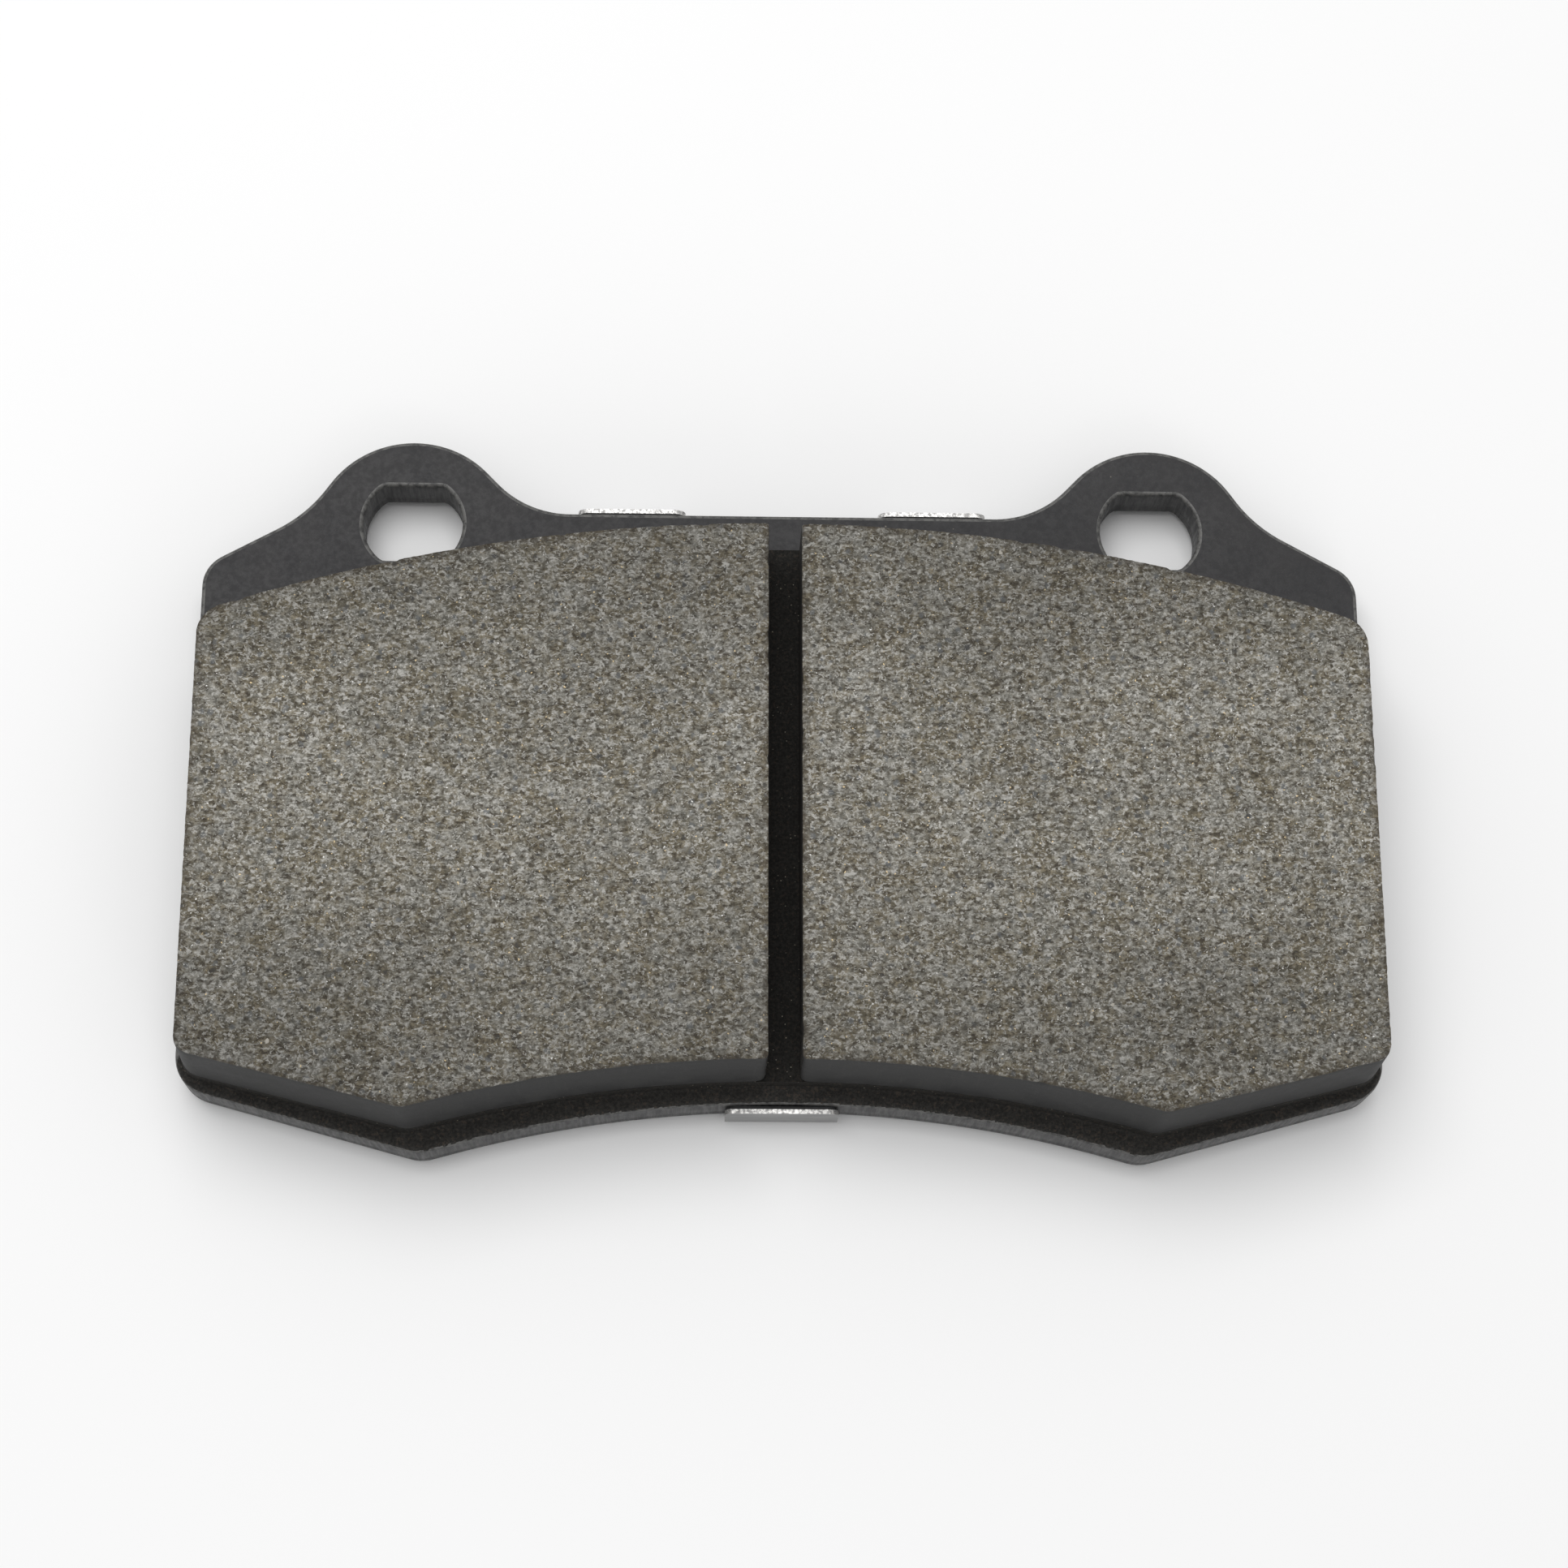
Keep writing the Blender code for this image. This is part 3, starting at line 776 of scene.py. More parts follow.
def sheet_pattern(height, tab_end, trim):
    """Outline of a flat sheet whose middle lies at height and whose tabs reach up to tab_end."""
    long = fold_radius(height) * math.pi / 2 + tab_end - BEND_CENTRE_Z
    sides = [(x, y, radius - trim) for x, y, radius in SHIM_SIDES]
    hollow = (*SHIM_LOWER_HOLLOW[:2], SHIM_LOWER_HOLLOW[2] - trim)
    low_root = hollow[1] + math.sqrt(hollow[2] ** 2 - TAB_HALF ** 2)
    upper = tab_rounds(UPPER_TAB_X, SHIM_TOP - trim, "upper", long, trim)
    lower = tab_rounds(0.0, low_root, "lower", long, trim)
    return belt(mirrored(upper + sides + [hollow] + lower[:len(lower) // 2]))


flat_tall = np.ptp(sheet_pattern(0.25, TAB_END, 0.0)[:, 1])
print(f"the sheet is blanked {flat_tall:.1f} mm tall, before its tabs are folded")


# %% Fold the tabs
def fold_tabs(points, height):
    """Moves the tabs' points from the flat pattern to their folded places."""
    radius = fold_radius(height)
    x, y = points[:, 0].copy(), points[:, 1].copy()
    z = np.full(len(points), height)
    for name, outward in (("upper", 1), ("lower", -1)):
        reach = UPPER_TAB_X + TAB_HALF + 1 if outward > 0 else TAB_HALF + 1
        bend = TAB_LINES[name] - MIDDLE_Y
        past = np.where(np.abs(x) < reach, outward * (y - bend), 0)
        angle = np.clip(past / radius, 0, math.pi / 2)
        folded = bend + outward * radius * np.sin(angle)
        rise = radius * (1 - np.cos(angle)) + np.maximum(0, past - radius * math.pi / 2)
        y, z = np.where(past > 0, folded, y), np.where(past > 0, z + rise, z)
    return np.column_stack([x, y, z])


middle_of_tab = fold_tabs(np.array([[0.0, TAB_LINES["lower"] - MIDDLE_Y - 3.0]]), 0.25)[0]
print("a point 3 mm past the lower bend goes to", np.round(middle_of_tab, 2))

# %% [markdown]
# ## A net that folds cleanly
# A flat sheet needs few points, but where it bends, a random net would fold into creases. So the
# sheet has wide points all over, a line of points beside its rim, closer points at the tabs, and
# straight rows across each bend, which turn with it like the slats of a blind.

# %% Points on the flat part
WIDE_SPACING, WIDE_MARGIN = 2.2, 1.2
RIM_LINE_INSET = 0.6


def flat_points(line, normal):
    """Points wide apart, and a line of points beside the rim."""
    wide = scattered(line, WIDE_SPACING, 8, WIDE_MARGIN)
    drawn_y = wide[:, 1] + MIDDLE_Y
    wide = wide[(drawn_y < SHIM_TOP - 1) & (drawn_y > TAB_LINES["lower"] + 4)]
    beside_rim = (line - normal * RIM_LINE_INSET)[::3]
    beside_rim = beside_rim[(beside_rim[:, 1] + MIDDLE_Y < SHIM_TOP - 0.4)
                            & ((np.abs(beside_rim[:, 0]) > 9) | (beside_rim[:, 1] > 0))]
    return wide, beside_rim


print("flat points:", sum(map(len, flat_points(*evenly(sheet_pattern(0.25, TAB_END, 0.0), 0.2)))))

# %% Points at the tabs
BEND_ROWS = 9
BEND_MARGIN = 0.3                # loose points stay this far from a bend
ROW_PLACES = np.arange(-5.2, 5.21, 0.4)
TABS = (("upper", 1, (-UPPER_TAB_X, UPPER_TAB_X)), ("lower", -1, (0.0,)))


def tab_points(line, height):
    """Loose points near each tab, and straight rows across its bend."""
    loose = scattered(line, 0.45, 7, 0.2)
    across, drawn_y = np.abs(loose[:, 0]), loose[:, 1] + MIDDLE_Y
    curl = fold_radius(height) * math.pi / 2
    keep, rows = np.zeros(len(loose), bool), []
    for name, up, places in TABS:
        past = up * (drawn_y - TAB_LINES[name])
        beside_bend = (past < -BEND_MARGIN) | (past > curl + BEND_MARGIN)
        keep |= (np.abs(across - abs(places[0])) < 8) & (past > -2.4) & beside_bend
        for x in places:
            for step in np.linspace(-0.05, curl + 0.05, BEND_ROWS):
                y_row = np.full(len(ROW_PLACES), TAB_LINES[name] + up * step - MIDDLE_Y)
                rows.append(np.column_stack([x + ROW_PLACES, y_row]))
    return loose[keep], rows


print(f"{BEND_ROWS} rows of {len(ROW_PLACES)} points across each bend")

# %% [markdown]
# ## Gauge and sheared rim
# The folded net is given its gauge by a Solidify modifier, which also keeps the rim apart as a
# second kind of finish, and a Bevel takes the sharpness off. Both are applied, so that the piece
# is a plain mesh like the others.

# %% Make the steel sheet and its rubber lining
SHIM_GAUGE, RUBBER_GAUGE = 0.5, 0.32
OUTLINE_SPACING = 0.2


def make_sheet(name, height, gauge, tab_end, trim, edge_round):
    line, normal = evenly(sheet_pattern(height, tab_end, trim), OUTLINE_SPACING)
    build = Build()
    loop = build.ring(line, height)
    wide, beside_rim = flat_points(line, normal)
    near_tabs, rows = tab_points(line, height)
    fill(build, [loop], np.vstack([near_tabs, wide, beside_rim, *rows]), height)
    flat = np.vstack(build.points)
    build.points = [fold_tabs(flat[:, :2], height)]
    made = make_object(build, name)
    made.data.materials.append(None)
    made.data.materials.append(None)
    thick = made.modifiers.new("gauge", "SOLIDIFY")
    thick.thickness, thick.offset = gauge * MM, 0.0
    thick.material_offset_rim = 1
    soft = made.modifiers.new("sheared rim", "BEVEL")
    soft.width, soft.segments, soft.limit_method = edge_round * MM, 2, "ANGLE"
    soft.angle_limit = math.radians(50)
    soft.material = -1
    bpy.context.view_layer.update()
    finished = made.evaluated_get(bpy.context.evaluated_depsgraph_get())
    solid = bpy.data.meshes.new_from_object(finished)
    made.modifiers.clear()
    made.data = solid
    solid.shade_smooth()
    solid.set_sharp_from_angle(angle=math.radians(45))
    print(f"{name}: {gauge} mm thick, {len(solid.polygons)} faces with its rim")
    return made


shim_sheet = make_sheet("shim_steel_sheet", SHIM_GAUGE / 2, SHIM_GAUGE, TAB_END, 0.0, 0.06)
rubber_middle = SHIM_GAUGE + 0.01 + RUBBER_GAUGE / 2
shim_rubber = make_sheet("shim_rubber_lining", rubber_middle, RUBBER_GAUGE, TAB_END - 0.12, 0.25,
                         0.04)

# %% [markdown]
# ## The adhesive film
# What sticks the shim to the plate is a film that fills the space left between the rubber and the
# steel. Only its edge shows, a little inside the shim's, so three plain rings are enough, with the
# middle one pushed out as such a film swells when it is pressed.

# %% Make the adhesive film
FILM_SECTION = ((0.95, SHIM_GAUGE + RUBBER_GAUGE + 0.02), (0.85, FILM_BACK + 0.1),
                (0.9, PLATE_BACK))           # (how far inside the shim's outline, height)
film_rounds = mirrored([(28.4, SHIM_TOP - 2.2, 2.2), *SHIM_SIDES[1:], SHIM_LOWER_HOLLOW])
film_line, film_normal = evenly(belt(film_rounds), 0.6)
film_build = Build()
film_rings = []
for inset, height in FILM_SECTION:
    film_rings.append(film_build.ring(film_line - film_normal * inset, height))
for lower, upper in zip(film_rings, film_rings[1:]):
    film_build.wall(lower, upper)
for end in (film_rings[0], film_rings[-1]):
    fill(film_build, [end])
film = make_object(film_build, "shim_adhesive_layer")

# %% [markdown]
# ## Words for mixing a finish
# Each finish below is a short recipe of patterns measured in millimetres on the pad itself, so its
# grain keeps its real size from every side. These helpers place a node, mix two colours, shape a
# value and raise a bump; a number that is the same everywhere is set on the shader itself.

# %% Place a node and mix two colours
def add(tree, kind, inputs=None, **settings):
    made = tree.nodes.new("ShaderNode" + kind)
    for name, value in settings.items():
        setattr(made, name, value)
    for socket, value in (inputs or {}).items():
        if isinstance(value, bpy.types.NodeSocket):
            tree.links.new(value, made.inputs[socket])
        else:
            made.inputs[socket].default_value = value
    return made


def mixed(tree, share, first, second, how="MIX"):
    """A colour between first and second; both may be colours or sockets."""
    made = tree.nodes.new("ShaderNodeMix")
    made.data_type, made.blend_type = "RGBA", how
    for index, value in ((0, share), (6, first), (7, second)):
        if isinstance(value, bpy.types.NodeSocket):
            tree.links.new(value, made.inputs[index])
        else:
            made.inputs[index].default_value = (*value, 1.0) if index else value
    return made.outputs[2]


def shaded(tree, colour, share, darkest, lightest):
    """The colour times a grey between darkest and lightest."""
    return mixed(tree, 1.0, colour, mixed(tree, share, darkest, lightest), "MULTIPLY")


print("colours are mixed by node", bpy.types.ShaderNodeMix.bl_rna.name)


# %% Shape a value
def between(tree, value, low, high, to_low=0.0, to_high=1.0):
    """Maps a value's stretch from low to high smoothly onto to_low to to_high."""
    made = add(tree, "MapRange", {0: value, 1: low, 2: high, 3: to_low, 4: to_high})
    made.interpolation_type = "SMOOTHSTEP"
    return made.outputs[0]


def times(tree, first, second):
    return add(tree, "Math", {0: first, 1: second}, operation="MULTIPLY").outputs[0]


def spots(tree, gap, full, gone, strength, own, none, every):
    """Spots at the middles of cells: gap is the distance to the middle, own picks the cells."""
    spot = between(tree, gap, full, gone, strength, 0.0)
    return times(tree, spot, between(tree, own, none, every))


print("values are shaped by node", bpy.types.ShaderNodeMapRange.bl_rna.name)


# %% Patterns in millimetres, and bump
def millimetres(tree, stretch=(1, 1, 1), shift=(0, 0, 0)):
    """Places on the pad in millimetres, stretched along its axes."""
    place = add(tree, "TexCoord").outputs["Object"]
    scale = tuple(value / MM for value in stretch)
    return add(tree, "Mapping", {"Vector": place, "Scale": scale, "Location": shift}).outputs[0]


def cloud(tree, place, per_mm, detail=3.0, rough=0.5, twist=0.0):
    made = add(tree, "TexNoise", {"Vector": place, "Scale": per_mm, "Detail": detail})
    made.inputs["Roughness"].default_value = rough
    made.inputs["Distortion"].default_value = twist
    return made.outputs["Fac"]


def cells(tree, place, per_mm, feature="F1"):
    made = add(tree, "TexVoronoi", {"Vector": place, "Scale": per_mm}, feature=feature)
    return made.outputs["Distance"], made.outputs["Color"]


def raised(tree, height, depth_mm, strength=1.0, under=None):
    made = add(tree, "Bump", {"Height": height, "Distance": depth_mm * MM, "Strength": strength})
    if under is not None:
        tree.links.new(under, made.inputs["Normal"])
    return made.outputs[0]


print("patterns are read from nodes", bpy.types.ShaderNodeTexNoise.bl_rna.name,
      "and", bpy.types.ShaderNodeTexVoronoi.bl_rna.name)


# %% Start a finish and feed its shader
def finish_of(name, roughness, metallic=0.0, specular=0.5):
    """A new material, its node tree and its Principled shader."""
    made = bpy.data.materials.new(name)
    made.use_nodes = True
    shader = made.node_tree.nodes["Principled BSDF"]
    shader.inputs["Roughness"].default_value = roughness
    shader.inputs["Metallic"].default_value = metallic
    shader.inputs["Specular IOR Level"].default_value = specular
    return made, made.node_tree, shader


def feed(tree, shader, **sockets):
    for name, value in sockets.items():
        tree.links.new(value, shader.inputs[name.replace("_", " ")])


def described(finish):
    print(f"{finish.name}: {len(finish.node_tree.nodes)} nodes")
    return finish


# %% [markdown]
# ## Ground friction composite
# Seen close, the ground face is a salt-and-pepper of half-millimetre grains: mid grey, some cool,
# some olive, with black graphite, pale mineral flecks and hair-thin fibres. One noise can't give
# that, so the recipe lays the parts over each other in the order a mixer would weigh them in.

# %% Mottled body, gaps, flecks and grains
def mottled_body(tree, place, shaken):
    """Cool and olive greys, clouded at about a millimetre."""
    tint = between(tree, cloud(tree, place, 0.5, 5.0, 0.65), 0.36, 0.64)
    colour = mixed(tree, tint, (0.140, 0.122, 0.086), (0.184, 0.178, 0.157))
    mottle = between(tree, cloud(tree, shaken, 1.15, 4.0, 0.6), 0.30, 0.70)
    return shaded(tree, colour, mottle, (0.55, 0.55, 0.53), (1.44, 1.44, 1.44))


def with_gaps_and_flecks(tree, colour, long, fine):
    """Dark gaps between the grains, pale flecks on them and a fine salt over both."""
    gaps = between(tree, long, 0.34, 0.47, 0.85, 0.0)
    colour = mixed(tree, gaps, colour, (0.050, 0.041, 0.029))
    flecks = between(tree, long, 0.54, 0.66, 0.0, 0.65)
    colour = mixed(tree, flecks, colour, (0.365, 0.357, 0.332))
    return shaded(tree, colour, fine, (0.74, 0.73, 0.72), (1.26, 1.26, 1.27))


def with_grains(tree, colour, shaken):
    """Some smooth grey grains, and a few of black graphite."""
    gap, own = cells(tree, shaken, 1.0)
    pick = add(tree, "SeparateColor", {0: own}).outputs
    smooth = spots(tree, gap, 0.22, 0.42, 0.7, pick[0], 0.80, 0.84)
    colour = mixed(tree, smooth, colour, (0.122, 0.128, 0.131))
    dark = spots(tree, gap, 0.15, 0.42, 0.8, pick[1], 0.86, 0.90)
    return mixed(tree, dark, colour, (0.052, 0.050, 0.046))


print("three layers of the body are ready")

# %% Hair-thin wisps and bright specks
WISPS = (((0, 0, 0), 1.3, 0.8), ((31, 17, 5), 1.9, 0.7))      # (shift, per mm, strength)


def with_wisps(tree, colour):
    """Pale hair-thin lines, where a smooth noise crosses its own middle value."""
    for shift, per_mm, share in WISPS:
        moved = millimetres(tree, (0.9, 1.1, 1), shift)
        noise = cloud(tree, moved, per_mm, 1.0, 0.5, 0.6)
        off = add(tree, "Math", {0: noise, 1: 0.5}, operation="SUBTRACT").outputs[0]
        near = add(tree, "Math", {0: off}, operation="ABSOLUTE").outputs[0]
        here = between(tree, cloud(tree, moved, per_mm * 1.5, 1.0), 0.55, 0.62, 0.0, share)
        mask = times(tree, between(tree, near, 0.015, 0.075, 1.0, 0.0), here)
        colour = mixed(tree, mask, colour, (0.46, 0.45, 0.42))
    return colour


def with_bright_specks(tree, colour, shaken):
    """Specks of bare metal, silver or brass; also returns where they are."""
    gap, own = cells(tree, shaken, 1.35)
    pick = add(tree, "SeparateColor", {0: own}).outputs
    bright = spots(tree, gap, 0.06, 0.14, 1.0, pick[0], 0.4, 0.45)
    gold = between(tree, pick[1], 0.45, 0.5)
    metal = mixed(tree, gold, (0.80, 0.79, 0.76), (0.74, 0.58, 0.34))
    return mixed(tree, bright, colour, metal), bright


print(f"{len(WISPS)} sets of wisps and one of specks are ready")

# %% Shade over the whole face
FACE_MIDDLE = 3.0                # the face is lightest this far under the pad's middle


def with_broad_shade(tree, colour, place):
    """Broad clouds, and faint streaks from side to side as the grinder leaves them."""
    broad = between(tree, cloud(tree, place, 0.05, 4.0, 0.6), 0.3, 0.7)
    streaked = millimetres(tree, (0.10, 1.6, 1))
    scored = between(tree, cloud(tree, streaked, 1.0, 3.0, 0.6), 0.3, 0.7)
    colour = shaded(tree, colour, broad, (0.90, 0.90, 0.90), (1.10, 1.10, 1.10))
    return shaded(tree, colour, scored, (0.91, 0.91, 0.91), (1.09, 1.09, 1.09))


def with_dark_edges(tree, colour, place):
    """Patches of mould skin left along the rim, and a face that darkens far from the middle, partly
    as the ends are less polished and partly as painted shade of the light falling off.
    """
    edge = add(tree, "Attribute", attribute_name="bruised").outputs["Fac"]
    patches = between(tree, cloud(tree, place, 1.6, 3.0, 0.6), 0.40, 0.58, 0.12, 0.85)
    colour = mixed(tree, times(tree, edge, patches), colour, (0.058, 0.047, 0.034))
    height = add(tree, "SeparateXYZ", {0: place}).outputs[1]
    off = add(tree, "Math", {0: height, 1: FACE_MIDDLE}, operation="ADD").outputs[0]
    far = add(tree, "Math", {0: off}, operation="ABSOLUTE").outputs[0]
    # partly painted shade: the face darkens by up to a third towards its ends, where the light
    # falls off, and partly it is less polished there
    polish_and_painted_shade = between(tree, far, 6.0, 30.0)
    return shaded(tree, colour, polish_and_painted_shade, (1.0, 1.0, 1.0), (0.69, 0.69, 0.69))


print(f"the face is lightest {FACE_MIDDLE} mm under its middle")


# %% Ground face
def ground_face():
    made, tree, shader = finish_of("ground_friction_composite", 0.8, specular=0.3)
    place = millimetres(tree)
    wobble = add(tree, "TexNoise", {"Vector": place, "Scale": 1.6, "Detail": 2.0})
    shaken = mixed(tree, 0.3, place, wobble.outputs["Color"], "LINEAR_LIGHT")
    long = cloud(tree, millimetres(tree, (0.8, 1.25, 1), (5, 8, 0)), 2.1, 2.0, 0.55, 0.5)
    fine = between(tree, cloud(tree, shaken, 4.0, 2.0, 0.6), 0.3, 0.7)
    colour = mottled_body(tree, place, shaken)
    colour = with_gaps_and_flecks(tree, colour, long, fine)
    colour = with_wisps(tree, with_grains(tree, colour, shaken))
    colour, bright = with_bright_specks(tree, colour, shaken)
    colour = with_dark_edges(tree, with_broad_shade(tree, colour, place), place)
    rough = between(tree, bright, 0.0, 1.0, 0.82, 0.4)
    bump = raised(tree, fine, 0.05, 0.6, raised(tree, long, 0.22, 0.8))
    feed(tree, shader, Base_Color=colour, Roughness=rough, Normal=bump)
    return made


face_finish = described(ground_face())

# %% [markdown]
# ## Moulded sides
# The sides keep the skin of the mould: dark, even, faintly satin, with drag marks that run from the
# plate to the face where the hot block was pushed out.

# %% Moulded side
def moulded_side():
    made, tree, shader = finish_of("moulded_friction_side", 0.62, specular=0.16)
    place = millimetres(tree)
    drag = cloud(tree, millimetres(tree, (2.4, 2.4, 0.16)), 1.0, 3.0, 0.6)
    cloudy = cloud(tree, place, 0.35, 4.0, 0.6)
    shade = between(tree, cloudy, 0.35, 0.65)
    colour = mixed(tree, shade, (0.026, 0.026, 0.026), (0.037, 0.037, 0.0365))
    colour = mixed(tree, between(tree, drag, 0.55, 0.75, 0.0, 0.35), colour, (0.052, 0.051, 0.048))
    specks = between(tree, cloud(tree, place, 5.0, 2.0), 0.64, 0.72, 0.0, 0.4)
    colour = mixed(tree, specks, colour, (0.085, 0.08, 0.07))
    rough = between(tree, cloudy, 0.3, 0.7, 0.54, 0.68)
    bump = raised(tree, drag, 0.03, 0.5)
    bump = raised(tree, cloud(tree, place, 3.2, 3.0), 0.02, 0.5, bump)
    feed(tree, shader, Base_Color=colour, Roughness=rough, Normal=bump)
    return made


side_finish = described(moulded_side())

# %% [markdown]
# ## Black compound
# The underlayer is black with bare grains in it. In the slot the blade has opened it, so pale and
# brown specks show; on the skirt it is closed and sandy. One recipe makes both, with the two
# blacks, the share of bare grains and their colour as its settings.

# %% Underlayer: black with pale and brown specks
def black_compound(name, dark, light, specks, glint):
    """dark and light are its two blacks, specks the share of bare grains, glint their colour."""
    made, tree, shader = finish_of(name, 0.85, specular=0.25)
    place = millimetres(tree)
    grit = cloud(tree, place, 3.4, 4.0, 0.65)
    colour = mixed(tree, between(tree, grit, 0.35, 0.68), dark, light)
    brown = between(tree, cloud(tree, place, 2.6, 2.0, 0.6), 0.56, 0.66, 0.0, 0.7)
    warm = (light[0] * 1.6, light[1] * 1.35, light[2] * 1.2)
    colour = mixed(tree, brown, colour, warm)
    gap, own = cells(tree, place, 2.1)
    pick = add(tree, "SeparateColor", {0: own}).outputs
    pale = spots(tree, gap, 0.09, 0.17, 1.0, pick[0], 1.0 - specks, 1.04 - specks)
    pale_look = mixed(tree, between(tree, pick[1], 0.35, 0.65), (0.055, 0.050, 0.042), glint)
    colour = mixed(tree, pale, colour, pale_look)
    bump = raised(tree, grit, 0.10, 0.9)
    feed(tree, shader, Base_Color=colour, Normal=bump)
    return made


floor_finish = described(black_compound("black_slot_floor", (0.0085, 0.0080, 0.0070),
                                        (0.0225, 0.0210, 0.0185), 0.55, (0.27, 0.25, 0.20)))
skirt_finish = described(black_compound("black_sandy_skirt", (0.0150, 0.0143, 0.0132),
                                        (0.0360, 0.0338, 0.0305), 0.22, (0.085, 0.075, 0.058)))

# %% [markdown]
# ## Powder coat
# The plate is powder coated, which flows into a fine orange peel. Over the sheared edge the coat
# thins, and the upright marks of the press show through; along its rounded front rim a patchy
# highlight is painted on. The two surfaces have their own recipes, because one pattern can't run
# flat over a face and upright over its edge.

# %% Powder coat on the plate's faces
def powder_coat():
    made, tree, shader = finish_of("powder_coat_on_faces", 0.6, specular=0.3)
    place = millimetres(tree)
    peel = cloud(tree, place, 1.7, 3.0, 0.55)
    mottle = cloud(tree, place, 0.22, 3.0)
    shade = between(tree, mottle, 0.35, 0.65)
    colour = mixed(tree, shade, (0.0275, 0.0270, 0.0285), (0.0325, 0.0315, 0.0325))
    grit = between(tree, cloud(tree, place, 5.5, 2.0), 0.60, 0.72, 0.0, 0.5)
    colour = mixed(tree, grit, colour, (0.055, 0.052, 0.049))
    gap, own = cells(tree, place, 0.5)
    dust = add(tree, "SeparateColor", {0: own}).outputs[0]
    mote = spots(tree, gap, 0.03, 0.07, 1.0, dust, 0.7, 0.72)
    colour = mixed(tree, mote, colour, (0.16, 0.145, 0.12))
    rough = between(tree, peel, 0.3, 0.7, 0.50, 0.66)
    bump = raised(tree, peel, 0.045, 0.6)
    bump = raised(tree, cloud(tree, place, 6.0, 2.0), 0.012, 0.5, bump)
    feed(tree, shader, Base_Color=colour, Roughness=rough, Normal=bump)
    return made


coat_finish = described(powder_coat())


# %% Powder coat on the sheared edge
def coat_on_sheared_edge():
    made, tree, shader = finish_of("powder_coat_on_sheared_edge", 0.45, specular=0.4)
    place = millimetres(tree)
    streaks = cloud(tree, millimetres(tree, (2.6, 2.6, 0.22)), 1.0, 4.0, 0.65)
    blotch = cloud(tree, place, 0.4, 3.0)
    shade = between(tree, streaks, 0.35, 0.7)
    colour = mixed(tree, shade, (0.020, 0.020, 0.021), (0.046, 0.045, 0.044))
    colour = mixed(tree, between(tree, blotch, 0.5, 0.75, 0.0, 0.5), colour, (0.062, 0.061, 0.059))
    # painted highlight: the top half millimetre of the sheared edge, its rounded front rim, is
    # lightened in patches
    height = add(tree, "SeparateXYZ", {0: place}).outputs[2]
    highlight_patches = cloud(tree, place, 1.5, 3.0, 0.6)
    front_rim_band = between(tree, height, PLATE_FRONT - 0.5, PLATE_FRONT - 0.2)
    rim = times(tree, front_rim_band, between(tree, highlight_patches, 0.35, 0.6, 0.15, 0.85))
    colour = mixed(tree, rim, colour, (0.130, 0.128, 0.122))
    rough = between(tree, streaks, 0.3, 0.7, 0.55, 0.40)
    bump = raised(tree, streaks, 0.06, 0.7)
    bump = raised(tree, cloud(tree, place, 4.0, 2.0), 0.02, 0.4, bump)
    feed(tree, shader, Base_Color=colour, Roughness=rough, Normal=bump)
    return made


edge_finish = described(coat_on_sheared_edge())

# %% [markdown]
# ## Finishes of the shim
# The sheet has a grey coat on its faces, with the faint grain of rolling. Its rim was cut last, so
# it is bare, bright and torn. The rubber lining is dull black, and the adhesive is amber where it
# swells out. Bare steel is fully metallic, and the coated face only partly.

# %% Shim: grey coated faces
def coated_sheet():
    made, tree, shader = finish_of("grey_coated_shim_sheet", 0.5, metallic=0.35, specular=0.4)
    place = millimetres(tree)
    rolled = cloud(tree, millimetres(tree, (0.15, 3.0, 3.0)), 1.0, 3.0)
    spread = cloud(tree, place, 0.12, 4.0)
    shade = between(tree, rolled, 0.35, 0.65)
    colour = mixed(tree, shade, (0.235, 0.235, 0.235), (0.275, 0.275, 0.272))
    colour = mixed(tree, between(tree, spread, 0.5, 0.7, 0.0, 0.35), colour, (0.20, 0.20, 0.205))
    rough = between(tree, spread, 0.3, 0.7, 0.44, 0.56)
    bump = raised(tree, cloud(tree, place, 5.0, 3.0), 0.012, 0.6)
    bump = raised(tree, rolled, 0.01, 0.4, bump)
    feed(tree, shader, Base_Color=colour, Roughness=rough, Normal=bump)
    return made


sheet_finish = described(coated_sheet())


# %% Shim: bright sheared rim
def sheared_rim():
    made, tree, shader = finish_of("bright_sheared_rim", 0.3, metallic=1.0)
    torn = cloud(tree, millimetres(tree, (3.4, 3.4, 1.2)), 1.0, 4.0, 0.6)
    colour = mixed(tree, between(tree, torn, 0.35, 0.62), (0.34, 0.335, 0.33), (0.72, 0.71, 0.69))
    rough = between(tree, torn, 0.35, 0.65, 0.58, 0.40)
    feed(tree, shader, Base_Color=colour, Roughness=rough, Normal=raised(tree, torn, 0.06, 0.7))
    return made


rim_finish = described(sheared_rim())


# %% Shim: rubber and adhesive
def black_rubber():
    made, tree, shader = finish_of("black_nitrile_rubber", 0.7, specular=0.4)
    place = millimetres(tree)
    dull = cloud(tree, place, 1.2, 4.0)
    shade = between(tree, dull, 0.3, 0.7)
    colour = mixed(tree, shade, (0.012, 0.012, 0.012), (0.024, 0.024, 0.025))
    bump = raised(tree, cloud(tree, place, 4.0, 3.0), 0.02, 0.5)
    feed(tree, shader, Base_Color=colour, Normal=bump)
    return made


def amber_adhesive():
    made, tree, shader = finish_of("amber_adhesive", 0.35)
    place = millimetres(tree)
    flow = cloud(tree, place, 0.5, 3.0, 0.5, 0.6)
    colour = mixed(tree, between(tree, flow, 0.3, 0.7), (0.25, 0.20, 0.12), (0.34, 0.28, 0.18))
    feed(tree, shader, Base_Color=colour, Normal=raised(tree, flow, 0.02, 0.5))
    return made


rubber_finish, adhesive_finish = described(black_rubber()), described(amber_adhesive())

# %% [markdown]
# ## Finishes of the fibres and lumps
# Each sliver is far too small for a pattern of its own, so slow noises give each one a shade by
# its place: most are grey steel or glass, some warm like brass. The lumps are dull mineral.

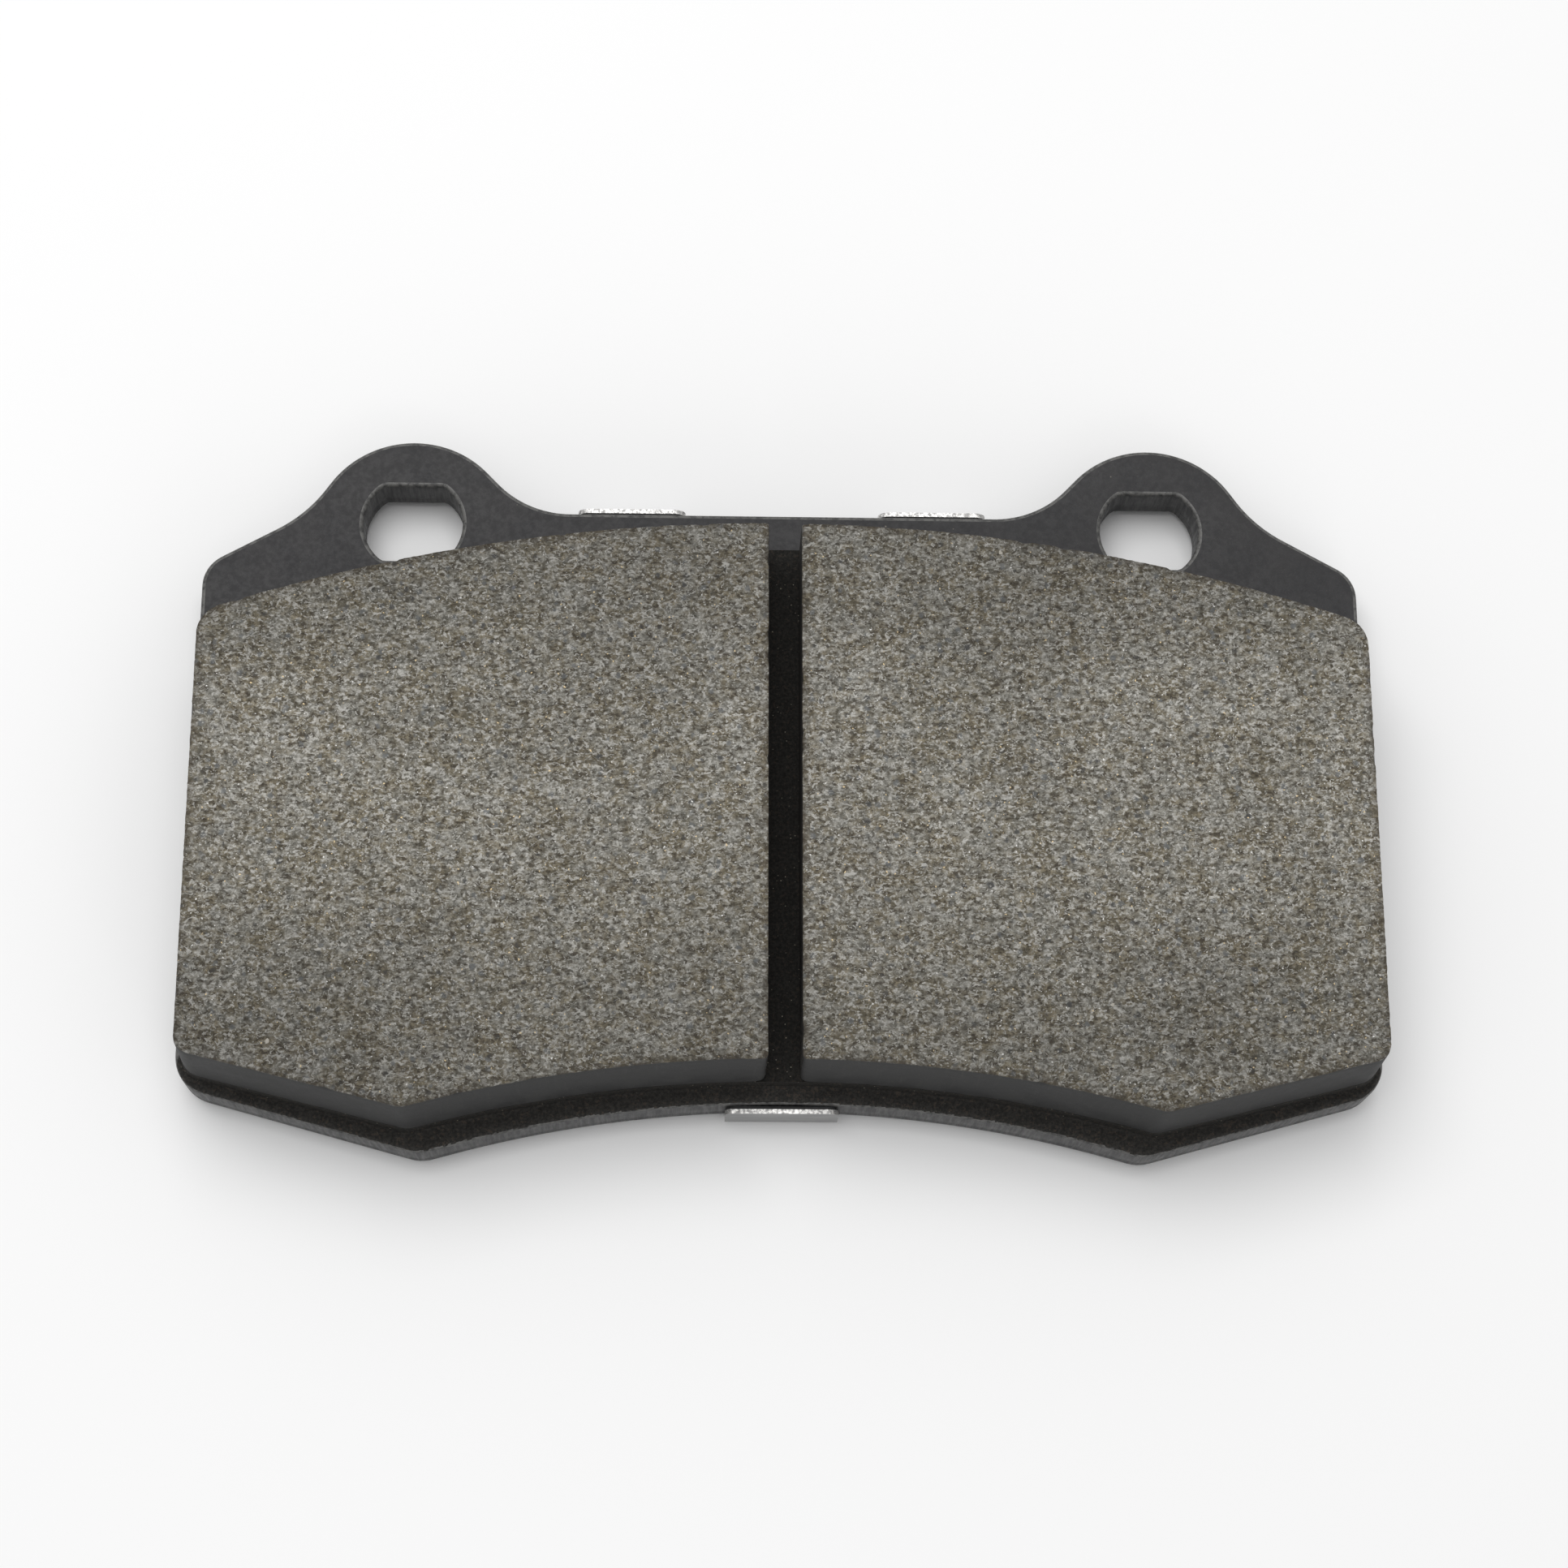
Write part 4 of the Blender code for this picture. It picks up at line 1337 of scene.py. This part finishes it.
# %% Fibres and lumps
def bare_fibre():
    made, tree, shader = finish_of("bare_chopped_fibre", 0.4, metallic=0.5)
    shade = cloud(tree, millimetres(tree), 0.8, 1.0)
    colour = mixed(tree, between(tree, shade, 0.4, 0.6), (0.30, 0.295, 0.28), (0.62, 0.61, 0.58))
    elsewhere = millimetres(tree, shift=(40, 9, 0))
    warm = between(tree, cloud(tree, elsewhere, 0.7, 1.0), 0.6, 0.66, 0.0, 0.6)
    feed(tree, shader, Base_Color=mixed(tree, warm, colour, (0.50, 0.40, 0.26)))
    return made


def mineral_lump():
    made, tree, shader = finish_of("mineral_lump", 0.6)
    own = cloud(tree, millimetres(tree), 0.3, 1.0)
    colour = mixed(tree, between(tree, own, 0.42, 0.58), (0.08, 0.08, 0.085), (0.31, 0.29, 0.25))
    bump = raised(tree, cloud(tree, millimetres(tree), 5.0, 3.0), 0.03, 0.7)
    feed(tree, shader, Base_Color=colour, Normal=bump)
    return made


fibre_finishes = [described(bare_fibre()), described(mineral_lump())]

# %% [markdown]
# ## Put the finishes on and hand the pieces to the frame
# Every piece rides on the pad's one body and hides the packed piece it replaces; the material slot
# that its finish belongs to is only printed.

# %% Dress each piece
def dress(piece, materials, slot, *nodes):
    """Gives a piece its materials and its body, hides the packed nodes it stands for, and prints
    its slot.
    """
    for index, finish in enumerate(materials):
        if index < len(piece.data.materials):
            piece.data.materials[index] = finish
        else:
            piece.data.materials.append(finish)
    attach(piece, BODY)
    if nodes:
        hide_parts(*nodes)
    print(f"{piece.name} is in slot {slot} and stands for", nodes or "no packed node")


block_finishes = [face_finish, side_finish, skirt_finish]
dress(plate, [coat_finish, edge_finish], "backing_plate", "backing_plate")
dress(underlayer, [floor_finish], "underlayer", "underlayer")
dress(skirt, [skirt_finish], "underlayer")
dress(block_left, block_finishes, "friction", "friction_block_left")
dress(block_right, block_finishes, "friction", "friction_block_right")
dress(fibres_left, fibre_finishes, "friction")
dress(fibres_right, fibre_finishes, "friction")
dress(shim_sheet, [sheet_finish, rim_finish], "shim_steel", "shim_steel")
dress(shim_rubber, [rubber_finish, rubber_finish], "shim_rubber", "shim_rubber")
dress(film, [adhesive_finish], "shim_film", "shim_adhesive_film")

# %% [markdown]
# ## Floor and light
# The face shows its grain under a broad soft light from above, and its walls fall dark there, which
# tells the eye how thick the pad is. A weaker light in front and a pale world fill the shadows.

# %% Pale floor
floor_mesh = bpy.data.meshes.new("studio_floor")
floor_work = bmesh.new()
bmesh.ops.create_grid(floor_work, x_segments=1, y_segments=1, size=2.0)
floor_work.to_mesh(floor_mesh)
floor_work.free()
floor = bpy.data.objects.new("studio_floor", floor_mesh)
bpy.context.scene.collection.objects.link(floor)
floor.location.z = -0.1 * MM
floor_look, _, floor_shader = finish_of("pale_floor", 0.9, specular=0.1)
floor_shader.inputs["Base Color"].default_value = (0.90, 0.90, 0.90, 1.0)
floor_mesh.materials.append(floor_look)
print(f"the floor lies {-floor.location.z / MM:.1f} mm under the pad, so that they never flicker")


# %% Soft studio light
def soft_light(name, place, target, size, power):
    lamp = bpy.data.lights.new(name, "AREA")
    lamp.shape, lamp.size, lamp.energy = "SQUARE", size, power
    made = bpy.data.objects.new(name, lamp)
    made.location = place
    made.rotation_euler = (Vector(target) - Vector(place)).to_track_quat("-Z", "Y").to_euler()
    bpy.context.scene.collection.objects.link(made)
    print(f"{name}: {power} W, {size} m wide")


soft_light("overhead_softbox", (-0.12, 0.22, 0.75), (0, 0, 0), 0.6, 3.7)
soft_light("front_fill", (0.25, -0.8, 0.5), (0, 0, 0), 0.5, 0.9)
world = bpy.data.worlds.new("studio_world")
world.use_nodes = True
world.node_tree.nodes["Background"].inputs["Color"].default_value = (1.0, 1.0, 1.0, 1.0)
world.node_tree.nodes["Background"].inputs["Strength"].default_value = 0.56
bpy.context.scene.world = world
bpy.context.scene.view_settings.view_transform = "Standard"

# %% [markdown]
# ## Camera
# A pad is best looked at from well above, so that its outline is true and its walls still show.
# The camera stands a third of a metre off, a little to the left, and keeps the pad's long side
# level, so its turn is built from three directions and not from a tracking rule.

# %% Camera
CAMERA_PLACE = Vector((-10.8, -103.5 - MIDDLE_Y, 343.3 + PLATE_FRONT)) * MM
AIM = Vector((0.0, -1.2, (PLATE_FRONT + FACE) / 2)) * MM
backwards = (CAMERA_PLACE - AIM).normalized()
rightwards = Vector((0, 1, 0)).cross(backwards).normalized()
upwards = backwards.cross(rightwards)
lens = bpy.data.cameras.new("studio_camera")
lens.lens, lens.sensor_width, lens.clip_start = 74.2, 36.0, 0.01
camera = bpy.data.objects.new("studio_camera", lens)
turn = Matrix((rightwards, upwards, backwards)).transposed().to_4x4()
camera.matrix_world = Matrix.Translation(CAMERA_PLACE) @ turn
bpy.context.scene.collection.objects.link(camera)
bpy.context.scene.camera = camera
print(f"the camera stands {(CAMERA_PLACE - AIM).length:.3f} m off with a {lens.lens:.1f} mm lens")

# %% [markdown]
# The finished pieces have to stay inside the box of the packed model.
